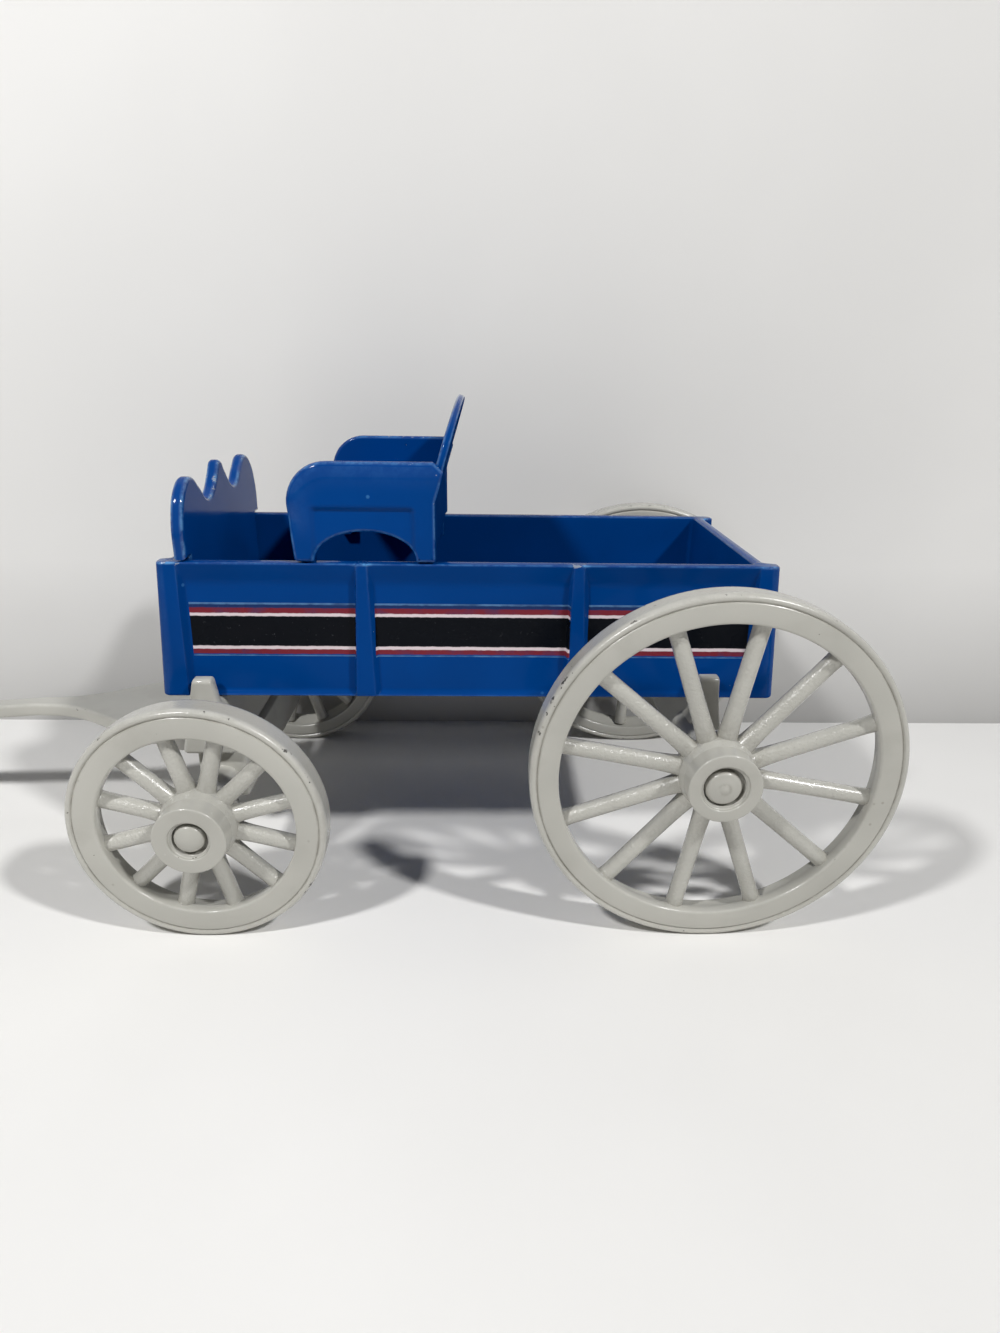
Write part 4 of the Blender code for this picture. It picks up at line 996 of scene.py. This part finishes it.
def seat_casting():
    """Seat: two sides, plank, rear panel, the leaning back and the tabs that hold it in the bed."""
    shell = Shell()
    outline = seat_side_outline()
    for side in (LEFT, RIGHT):
        plate(shell, outline, SEAT_HALF - SEAT_PANEL, SEAT_HALF, 0.75, side_on(side), spacing=0.8,
              relief=seat_relief, shine=arm_painted_highlight)
    inner = SEAT_HALF - SEAT_PANEL + 1.3
    plank_z = SEAT_BASE + PLANK_TOP
    front, rear = SEAT_X[0] + FOOT_TAPER, SEAT_X[1]
    plank = rectangle((front, rear - 1.0), (plank_z - PLANK_THICKNESS, plank_z), 0.6, 0, 0, 0.6)
    panel = rectangle((rear - 2.3, rear - 0.3), (SEAT_BASE + 0.3, plank_z + 2.6), 0.4)
    for flat in (plank, panel):
        plate(shell, flat, -inner, inner, 0.1, side_on(), spacing=3.0, steps=1)

    crest = BACK_RISE - PLANK_TOP
    shoulder = ARM_HEIGHT - PLANK_TOP - 0.3
    half = SEAT_HALF - SEAT_PANEL + 1.04
    slope = 1 / math.cos(math.radians(BACK_LEAN))
    outline = [(half, -PLANK_THICKNESS), (half, shoulder * slope)]
    outline += [(half * cos, (shoulder + (crest - shoulder) * sin ** 0.8) * slope)
                for cos, sin in list(turns(0, 180, 36))[1:-1]]
    outline += [(-half, shoulder * slope), (-half, -PLANK_THICKNESS)]
    tilt = (Matrix.Translation((rear - 0.3 - BACK_THICKNESS / 2, 0, plank_z))
            @ Matrix.Rotation(math.radians(BACK_LEAN), 4, "Y"))
    plate(shell, outline, -BACK_THICKNESS / 2, BACK_THICKNESS / 2, 0.6,
          lambda p: tilt @ Vector((p.z, p.x, p.y)), spacing=1.2)

    for side in (LEFT, RIGHT):
        for foot in ((front + 0.5, front + 3.5), (rear - 3.6, rear - 0.8)):
            tab = rectangle(foot, (71.0, 82.0), 0.4, 0.4, 0.2, 0.2)
            plate(shell, tab, 24.1, 26.1, 0.3, side_on(side), steps=2)
            bridge = rectangle(foot, (76.6, 82.0), 0.2)
            plate(shell, bridge, 25.0, 28.6, 0.2, side_on(side), steps=2)
    return shell.mesh("seat")


seat = make_piece("seat", seat_casting(), "wagon", "seat_casting", material=BLUE_ENAMEL,
                  slot="blue_enamel")
# Painted shade: the seat's rear-facing faces take the darker, rough blue.
seat.data.materials.append(DULL_SHADED_BLUE_ENAMEL)
for face in seat.data.polygons:
    if face.normal.x > 0.8 and face.center.x > 29.0 * MM:
        face.material_index = 1


# ---- bolsters

def bolster(shell, x, foot_z, foot_length, stake_length, rise, flange_side, swell=1.0):
    """Cross beam whose ends rise as stakes outside the bed, with a flat flange for the screws.

    It narrows upwards, faster with more swell.
    """
    top = DECK + rise
    inner = BOLSTER_HALF - STAKE_THICKNESS
    right = [(BOLSTER_HALF, foot_z, 0.9), (BOLSTER_HALF, top, 1.1), (inner - 0.6, top, 0.9),
             (inner, BOLSTER_TOP, 0.5)]
    left = [(-inner, BOLSTER_TOP, 0.5), (-(inner - 0.6), top, 0.9), (-BOLSTER_HALF, top, 1.1)]
    outline = rounded([(-BOLSTER_HALF, foot_z, 0.9)] + right + left)

    def narrowed(p):
        share = max(0.0, 1 - (p.y - foot_z) / (top - foot_z))
        length = stake_length + (foot_length - stake_length) * share ** swell
        return (x + p.z * length / foot_length, p.x, p.y)

    plate(shell, outline, -foot_length / 2, foot_length / 2, 0.11 * foot_length, narrowed,
          spacing=1.2, steps=5)
    flange = rectangle(sorted((x, x + flange_side * FLANGE_WIDTH)),
                       (-FLANGE_HALF, FLANGE_HALF), 1.5)
    plate(shell, flange, BOLSTER_TOP - FLANGE_THICKNESS, BOLSTER_TOP, 0.3, Matrix(), spacing=3.0,
          steps=3)


def axle_bosses(shell, x, z):
    """Bored round bosses that reach out to the thrust washers at both ends."""
    end, bore = BOSS_LENGTH, AXLE_BORE
    profile = [(bore, 0.0, 0.0), (BOSS_RADIUS, 0.0, 0.0), (BOSS_RADIUS, end - 0.4, 0.2),
               (BOSS_RADIUS - 0.12, end - 0.12, 1.0), (BOSS_RADIUS - 0.4, end, 0.2),
               (bore + 0.2, end, 0.2), (bore, end - 0.2, 0.2)]
    for side in (LEFT, RIGHT):
        lathe(shell, profile, 40, along_y(x, z, side * BOSS_START_Y, side))


front_beam = Shell()
bolster(front_beam, FRONT_AXLE.x - 1.8, foot_z=34.1, foot_length=12.0, stake_length=4.1,
        rise=4.8, flange_side=1)
make_piece("front_beam", front_beam.mesh("front_beam"), "wagon", "front_bolster")

rear_beam = Shell()
bolster(rear_beam, REAR_AXLE.x + 1.3, foot_z=REAR_AXLE.z - 3.9, foot_length=10.6,
        stake_length=4.4, rise=5.9, flange_side=-1, swell=1.8)
axle_bosses(rear_beam, REAR_AXLE.x, REAR_AXLE.z)
make_piece("rear_beam", rear_beam.mesh("rear_beam"), "wagon", "rear_bolster")


# ---- tongue

def tongue():
    """Flared plate and round-edged pole, drooping a little, with two hinge eyes."""
    tip_x, tip_half = TONGUE_LENGTH - TONGUE_TIP_ROUND, TONGUE_TIP_ROUND
    near = [(3.5, 19.9, False), (9.5, 18.3, True), (18.75, 12.4, True), (34.0, 3.7, True),
            (TONGUE_PLATE_END, tip_half, False), (tip_x, tip_half, False)]
    tip = [(TONGUE_LENGTH - tip_half * (1 - sin), tip_half * cos, False)
           for cos, sin in list(turns(0, 180, 6))[1:-1]]
    far = [(u, -v, smooth) for u, v, smooth in reversed(near)]
    outline = flowing([(HITCH[0] - u, v, smooth) for u, v, smooth in near + tip + far])
    slope = math.tan(math.radians(TONGUE_DROOP))

    def drooping(p):
        beyond = max(0.0, HITCH[0] - TONGUE_PLATE_END - p.x)
        return (p.x, p.y, HITCH[1] + p.z - beyond * slope)

    shell = Shell()
    plate(shell, outline, -TONGUE_THICKNESS / 2, TONGUE_THICKNESS / 2, 0.9, drooping, spacing=1.2,
          steps=5)
    upper = [(2.6, 2.6, 0.1), (2.52, 2.85, 1.0), (2.3, 3.0, 0.1), (1.4, 3.0, 0.1)]
    eye = [(radius, -height, edge) for radius, height, edge in reversed(upper)] + upper
    arm = rectangle((HITCH[0] - 4.5, HITCH[0] - 1.6), (HITCH[1] - 1.4, HITCH[1] + 1.4), 0.2)
    for side in (LEFT, RIGHT):
        middle = side * EYE_MIDDLE_Y
        lathe(shell, eye, 32, along_y(*HITCH, middle))
        plate(shell, arm, middle - 3.0, middle + 3.0, 0.4, side_on(), steps=3)
    return shell.mesh("tongue_pole")


make_piece("tongue_pole", tongue(), "tongue", "tongue")


# ---- wheels

def spoke_tree():
    """Geometry Nodes tree: tapered spokes with flared ends, spread round the hub."""
    tree, given, out = new_tree(
        "GeometryNodeTree", "wheel_spokes",
        ((GEOMETRY, ("Geometry",)), (WHOLE, ("Spoke Count", "Sides")), (MATERIAL, ("Finish",)),
         (FLOAT, ("First Angle", "Root At", "Tip At", "Root Radius", "Tip Radius", "Root Flare",
                  "Tip Flare"))),
        ((GEOMETRY, ("Geometry",)),))
    line = put(tree, "GeometryNodeCurvePrimitiveLine", {
        "Start": put(tree, "CombineXYZ", {0: given["Root At"]}),
        "End": put(tree, "CombineXYZ", {0: given["Tip At"]})})
    line = put(tree, "GeometryNodeResampleCurve", {"Curve": line, "Count": 34})
    along = Value(put(tree, "GeometryNodeSplineParameter"), "Factor")
    back = 1.0 - along
    radius = Value(put(tree, "MapRange",
                       {0: along, 3: given["Root Radius"], 4: given["Tip Radius"]}))
    radius = radius + back ** 9.0 * given["Root Flare"] + along ** 22.0 * given["Tip Flare"]
    line = put(tree, "GeometryNodeStoreNamedAttribute", {
        "Geometry": line, "Name": "nook", "Value": back ** 7.0 + along ** 16.0},
        data_type="FLOAT", domain="POINT")
    ring = put(tree, "GeometryNodeCurvePrimitiveCircle",
               {"Resolution": given["Sides"], "Radius": 1.0})
    tube = put(tree, "GeometryNodeCurveToMesh", {
        "Curve": line, "Profile Curve": ring, "Scale": radius, "Fill Caps": True})
    share = Value(put(tree, "GeometryNodeInputIndex")) / given["Spoke Count"]
    turn = put(tree, "FunctionNodeAxisAngleToRotation", {
        "Axis": (0.0, 0.0, 1.0), "Angle": share * (2 * math.pi) + given["First Angle"]})
    spread = put(tree, "GeometryNodeInstanceOnPoints", {
        "Points": put(tree, "GeometryNodePoints", {"Count": given["Spoke Count"]}),
        "Instance": tube, "Rotation": turn})
    real = put(tree, "GeometryNodeRealizeInstances", {"Geometry": spread})
    finished = put(tree, "GeometryNodeSetMaterial", {"Geometry": real, "Material": given["Finish"]})
    feed(out, {"Geometry": finished})
    return tree


SPOKE_TREE = spoke_tree()


def from_tree(tree, settings):
    """Plain mesh that a Geometry Nodes tree makes with the given inputs."""
    holder = add_object("holder", bpy.data.meshes.new("holder"))
    shape = holder.modifiers.new("shape", "NODES")
    shape.node_group = tree
    identifiers = {item.name: item.identifier for item in tree.interface.items_tree
                   if item.item_type == "SOCKET" and item.in_out == "INPUT"}
    for label, value in settings.items():
        shape[identifiers[label]] = value
    mesh = final_mesh(holder)
    holder.modifiers.remove(shape)
    bpy.data.objects.remove(holder, do_unlink=True)
    return mesh


def rim_profile(radius, depth):
    """Rim section: round tread bead, groove, flat side ring, and inner face that opens inboard."""
    inner, groove, half = radius - depth, radius - BEAD_DEPTH, RIM_WIDTH / 2
    ring, bulge = half - 0.2 * GROOVE_DEPTH, BEAD_DEPTH * 0.62
    upper = [(radius, 0.0, 0.1), (radius - 0.01, 0.45 * half, 0.2)]
    upper += [(radius - bulge + bulge * cos, 0.55 * half + 0.45 * half * sin,
               0.35 + 1.3 * sin * cos) for cos, sin in turns(0, 90, 8)]
    upper += [(groove + 0.22, half - 0.02, 0.6), (groove + 0.06, half - 0.09, 0.2),
              (groove - 0.5 * GROOVE_WIDTH, half - GROOVE_DEPTH, 0.0),
              (groove - 0.9 * GROOVE_WIDTH, ring - 0.05, 0.1),
              (groove - 1.3 * GROOVE_WIDTH, ring, 0.1),
              (inner + 0.5, ring, 0.1), (inner + 0.2, ring - 0.07, 0.7),
              (inner + 0.04, ring - 0.28, 0.9), (inner, ring - 0.6, 0.2), (inner, 0.8, 0.0)]
    lower = [(r + (INNER_TAPER if r < inner + 0.6 else 0.0), -h, e)
             for r, h, e in reversed(upper) if h > 0]
    return upper + lower


def hub_profile(recess):
    """Hub section about the rim's middle: barrel, spoke belt, waist, recess and bore."""
    face, inner = HUB_FACE_Y - RIM_MIDDLE_Y, HUB_INNER_Y - RIM_MIDDLE_Y
    shelf, foot = recess - 0.6, face - RECESS_DEPTH
    return rounded([
        (recess, face, 0.25), (HUB_RADIUS, face, 0.35), (HUB_RADIUS + 0.1, 3.6, 1.2),
        (HUB_BELT, 2.2, 1.0), (HUB_BELT, -2.2, 0.8), (HUB_WAIST, -3.9, 0.8),
        (HUB_WAIST, inner, 0.5), (AXLE_BORE, inner, 0.0), (AXLE_BORE, foot, 0.0),
        (shelf, foot, 0.0), (shelf, face - 0.85, 0.15), (recess, face - 0.8, 0.35)], fineness=14.0)


def hub_nook(r, h):
    """Grime at the foot of the hub's recess and between the spokes."""
    foot = HUB_FACE_Y - RIM_MIDDLE_Y - RECESS_DEPTH
    belt = max(0.0, 1 - abs(h) / 3.4) if r > 7.0 else 0.0
    return max(0.75 * belt, 1.0 if 2 < h < foot + 0.3 and r < 5.2 else 0.0)


def grit_at(point, tread):
    """Lumps in the paint: on the tread, and on the hub around the spokes' roots."""
    reach = point.xy.length
    if reach > tread:
        return 2.5
    return 4.0 if 6.0 < reach < 10.0 and abs(point.z) < 3.8 else 0.5


def wheel(body, axle, radius, rim_depth, recess, side, turn):
    """One spoked wheel, its outer face away from the wagon."""
    tread = radius - BEAD_DEPTH
    groove = tread - 0.25
    shell = Shell()
    lathe(shell, rim_profile(radius, rim_depth), 160, Matrix(),
          lambda r, h: max(0.0, 1 - abs(r - groove) / 0.4))
    lathe(shell, hub_profile(recess), 72, Matrix(), hub_nook)
    turned = shell.mesh("rim_and_hub")
    set_mask(turned, "grit", [grit_at(vert.co / MM, tread) for vert in turned.vertices])
    spokes = from_tree(SPOKE_TREE, {
        "Spoke Count": SPOKE_COUNT, "Sides": SPOKE_SIDES, "Finish": OFF_WHITE_ENAMEL,
        "First Angle": math.radians(SPOKE_FIRST_ANGLE), "Root At": SPOKE_ROOT_AT * MM,
        "Tip At": (radius - rim_depth + SPOKE_TIP_SUNK) * MM, "Root Radius": SPOKE_ROOT_RADIUS * MM,
        "Tip Radius": SPOKE_TIP_RADIUS * MM, "Root Flare": SPOKE_ROOT_FLARE * MM,
        "Tip Flare": SPOKE_TIP_FLARE * MM})
    for label, value in (("edge", 0.0), ("grit", SPOKE_GRIT)):
        set_mask(spokes, label, [value] * len(spokes.vertices))
    mesh = joined(body, [turned, spokes])
    facing = Euler((math.radians(-90 * side), math.radians(-turn), 0)).to_matrix().to_4x4()
    middle = Vector((axle.x, side * RIM_MIDDLE_Y, axle.z)) * MM
    mesh.transform(Matrix.Translation(middle) @ facing)
    make_piece("spoked_" + body, mesh, body, body)


FRONT_WHEEL = (FRONT_AXLE, FRONT_WHEEL_RADIUS, FRONT_RIM_DEPTH, FRONT_RECESS)
REAR_WHEEL = (REAR_AXLE, REAR_WHEEL_RADIUS, REAR_RIM_DEPTH, REAR_RECESS)
wheel("wheel_front_left", *FRONT_WHEEL, LEFT, turn=0.0)
wheel("wheel_front_right", *FRONT_WHEEL, RIGHT, turn=3.0)
wheel("wheel_rear_left", *REAR_WHEEL, LEFT, turn=4.6)
wheel("wheel_rear_right", *REAR_WHEEL, RIGHT, turn=11.0)


def cap_profile(radius, dome, pointed):
    """Pressed cap: short skirt, rounded shoulder and a dome, or a shallow cone with a ring mark."""
    points = [(AXLE_BORE, 0.0, 0.0), (radius - 0.1, 0.0, 0.0), (radius, 0.1, 0.1),
              (radius, CAP_SKIRT, 0.3)]
    for step in range(1, 16):
        r = radius * (1 - step / 15)
        if pointed:
            shoulder = 1 - max(0.0, (r / radius - 0.82) / 0.18) ** 2
            rise = dome * (0.45 * shoulder + 0.55 * (1 - r / radius))
            mark = 0.10 * math.exp(-((r - 1.1) / 0.22) ** 2)
        else:
            rise, mark = dome * math.sqrt(1 - (r / radius) ** 2), 0.0
        points.append((r, CAP_SKIRT + rise - mark, 0.5 if step < 3 else 0.0))
    return points + [(0.0, 1.2, 0.0), (AXLE_BORE, 1.2, 0.0)]


def cap_nook(radius, height):
    """Grime in the ring mark and at the skirt's foot."""
    return 0.9 * math.exp(-((radius - 1.1) / 0.3) ** 2) if height > 1.3 else 0.6


def axle_caps(name, axle, radius, body, nodes, shift, pointed=False):
    """Caps in the recesses of both hubs on one axle, pressed on a little out of true."""
    shell = Shell()
    seat_y = HUB_FACE_Y - RECESS_DEPTH + CAP_GAP
    for side, node in zip((LEFT, RIGHT), nodes):
        low, high = span_of(node)
        rise = max(abs(low.y), abs(high.y)) - seat_y - CAP_SKIRT
        place = along_y(axle.x + shift[0], axle.z + shift[1], side * seat_y, side)
        lathe(shell, cap_profile(radius, rise, pointed), 48, place, cap_nook if pointed else None)
    make_piece(name, shell.mesh(name), body, *nodes)


axle_caps("front_axle_caps", FRONT_AXLE, FRONT_CAP, "front_truck",
          ("axle_cap_front_left", "axle_cap_front_right"), (-0.12, 0.16))
axle_caps("rear_axle_caps", REAR_AXLE, REAR_CAP, "wagon",
          ("axle_cap_rear_left", "axle_cap_rear_right"), (-0.20, -0.16), pointed=True)


# ---- turning block and steel pieces

def turning_block():
    """Copy of the CAD block with its sharp corners rounded as a casting's are."""
    mesh = bpy.data.meshes.new("turning_block")
    with editing(mesh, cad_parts["front_axle_block"].data) as bm:
        bmesh.ops.remove_doubles(bm, verts=bm.verts, dist=WELD)
        bmesh.ops.dissolve_limit(bm, angle_limit=math.radians(3), verts=bm.verts, edges=bm.edges)
        sharp = [edge for edge in bm.edges
                 if edge.is_manifold and edge.calc_face_angle() > math.radians(32)]
        rounds = bmesh.ops.bevel(bm, geom=sharp, offset=0.35 * MM, segments=3, profile=0.5,
                                 affect="EDGES", clamp_overlap=True)["faces"]
        layer = bm.verts.layers.float.new("edge")
        for face in rounds:
            for vert in face.verts:
                vert[layer] = 0.5
    if "custom_normal" in mesh.attributes:
        mesh.attributes.remove(mesh.attributes["custom_normal"])
    return mesh


make_piece("turning_block", turning_block(), "front_truck", "front_axle_block")

# The CAD nodes that are still shown are all plain steel
PLAIN_STEEL = steel_finish()
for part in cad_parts.values():
    if not part.hide_render:
        for place in part.material_slots:
            place.material = PLAIN_STEEL


# ---- floor, backdrop and light

WALL_AT = 59.5 * MM
WALL_HALF = 1.2
WALL_HEIGHT = 0.9
FLOOR_HALF = 4.0
FLOOR_COLOUR = (0.88, 0.87, 0.85)
WALL_COLOUR = (0.80, 0.792, 0.776)
SURROUNDINGS = (0.66, 0.66, 0.65, 1)
FLOOR_FADE = (0.45, 1.6)
SECOND_LAMP_AWAY = 1.6


def matt_paint(name, colour):
    """Matt pale paint; gives the material, its tree, shader, place and a faint unevenness."""
    material, tree, shader = surface(name, colour, 1.45, 0.15)
    shader.inputs["Roughness"].default_value = 0.75
    where = place_in(tree)
    return material, tree, shader, where, ramp(grain(where, 9.0, 3.0), 0.3, 0.7, 0.97, 1.02)


def behind(tree):
    """Whether a surface is seen from its back."""
    return Value(put(tree, "NewGeometry"), "Backfacing")


def mixed(share, first, second):
    """Mix of two shaders."""
    return put(share.tree, "MixShader", {0: share, 1: first, 2: second})


def show(shader, unseen):
    """Put a shader on its material's surface, clear where it is unseen."""
    tree = shader.id_data
    feed(tree.nodes["Material Output"],
         {"Surface": mixed(unseen, shader, put(tree, "BsdfTransparent"))})


def floor_paint(colour):
    """The floor: clear from below, and turning into the plain pale surroundings far away."""
    material, tree, shader, where, uneven = matt_paint("pale_floor", colour)
    feed(shader, {"Base Color": toned(uneven, (*colour, 1))})
    reach = Value(put(tree, "VectorMath", {0: where}, operation="LENGTH"), "Value")
    far = ramp(reach, *FLOOR_FADE) * Value(put(tree, "LightPath"), "Is Camera Ray")
    plain = put(tree, "Emission", {"Color": SURROUNDINGS, "Strength": 1.0})
    show(mixed(far, shader, plain), behind(tree))
    return material


def backdrop_paint(colour):
    """The wall: painted shade darkens its foot; clear from behind, without a shadow, dim to bounced
    light.
    """
    material, tree, shader, where, uneven = matt_paint("pale_backdrop", colour)
    # Painted shade: the wall's colour darkens over its lowest 55 mm.
    rise = Value(put(tree, "MapRange", {0: height_in(where), 1: 0.0, 2: 0.055, 3: 0.0, 4: 1.0}))
    foot_shaded_tone = toned(uneven * (rise ** 0.7 * 0.42 + 0.58), (*colour, 1))
    rays = put(tree, "LightPath")
    seen = Value(rays, "Is Camera Ray").most(Value(rays, "Is Glossy Ray"))
    feed(shader, {"Base Color": blend(seen, (0.30, 0.30, 0.30, 1), foot_shaded_tone)})
    show(shader, behind(tree).most(Value(rays, "Is Shadow Ray")))
    return material


def sheet(name, corners, material):
    """Flat stage surface from four corners, in metres."""
    mesh = bpy.data.meshes.new(name)
    mesh.from_pydata(corners, [], [(0, 1, 2, 3)])
    mesh.materials.append(material)
    add_object(name, mesh)


sheet("floor", [(-FLOOR_HALF, -FLOOR_HALF, 0.0), (FLOOR_HALF, -FLOOR_HALF, 0.0),
                (FLOOR_HALF, FLOOR_HALF, 0.0), (-FLOOR_HALF, FLOOR_HALF, 0.0)],
      floor_paint(FLOOR_COLOUR))
sheet("backdrop", [(-WALL_HALF, WALL_AT, 0.0), (WALL_HALF, WALL_AT, 0.0),
                   (WALL_HALF, WALL_AT, WALL_HEIGHT), (-WALL_HALF, WALL_AT, WALL_HEIGHT)],
      backdrop_paint(WALL_COLOUR))


def lamp(name, place, size, power):
    """Soft round lamp aimed at the wagon."""
    light = bpy.data.lights.new(name, "AREA")
    light.shape = "DISK"
    light.size = size
    light.energy = power
    obj = add_object(name, light)
    obj.location = place
    obj.rotation_mode = "QUATERNION"
    obj.rotation_quaternion = (LAMP_TARGET - place).to_track_quat("-Z", "Y")
    obj.visible_camera = False


LAMP_TARGET = Vector((0.04, 0.0, 0.03))
lamp("key_lamp", Vector((-0.252, -0.312, 0.487)), size=0.055, power=2.04)
towards_second = Vector((0.80, -0.62, 1.0)).normalized()
lamp("second_lamp", LAMP_TARGET + towards_second * SECOND_LAMP_AWAY, size=0.115, power=14.1)

world = bpy.data.worlds.new("studio")
bpy.context.scene.world = world
world.use_nodes = True
studio = world.node_tree
studio.nodes.clear()
rays = put(studio, "LightPath")
bright = Value(rays, "Is Glossy Ray").most(Value(rays, "Is Transmission Ray"))
dim = put(studio, "Background", {"Color": (1.0, 1.0, 1.0, 1), "Strength": 0.035})
pale = put(studio, "Background", {"Color": SURROUNDINGS, "Strength": 1.0})
put(studio, "OutputWorld",
    {"Surface": mixed(Value(rays, "Is Camera Ray").most(bright), dim, pale)})


# ---- camera

PITCH, YAW, ROLL = math.radians(20.61), math.radians(1.45), math.radians(0.83)
CAMERA_PLACE = Vector((40.92, -196.34, 116.26))
FOCAL_PIXELS = 822.4
PICTURE_WIDTH = 1000.0
SENSOR_WIDTH = 36.0

forward = Vector((math.sin(YAW) * math.cos(PITCH), math.cos(YAW) * math.cos(PITCH),
                  -math.sin(PITCH)))
level = Vector((math.cos(YAW), -math.sin(YAW), 0.0))
upright = level.cross(forward)
right = level * math.cos(ROLL) + upright * math.sin(ROLL)
up = upright * math.cos(ROLL) - level * math.sin(ROLL)
lens = bpy.data.cameras.new("camera")
lens.sensor_fit = "HORIZONTAL"
lens.sensor_width = SENSOR_WIDTH
lens.lens = FOCAL_PIXELS * SENSOR_WIDTH / PICTURE_WIDTH
lens.clip_start = 0.01
camera = add_object("camera", lens)
facing = Matrix((right, up, -forward)).transposed().to_4x4()
camera.matrix_world = Matrix.Translation(CAMERA_PLACE * MM) @ facing
bpy.context.scene.camera = camera
bpy.context.scene.view_settings.view_transform = "Standard"
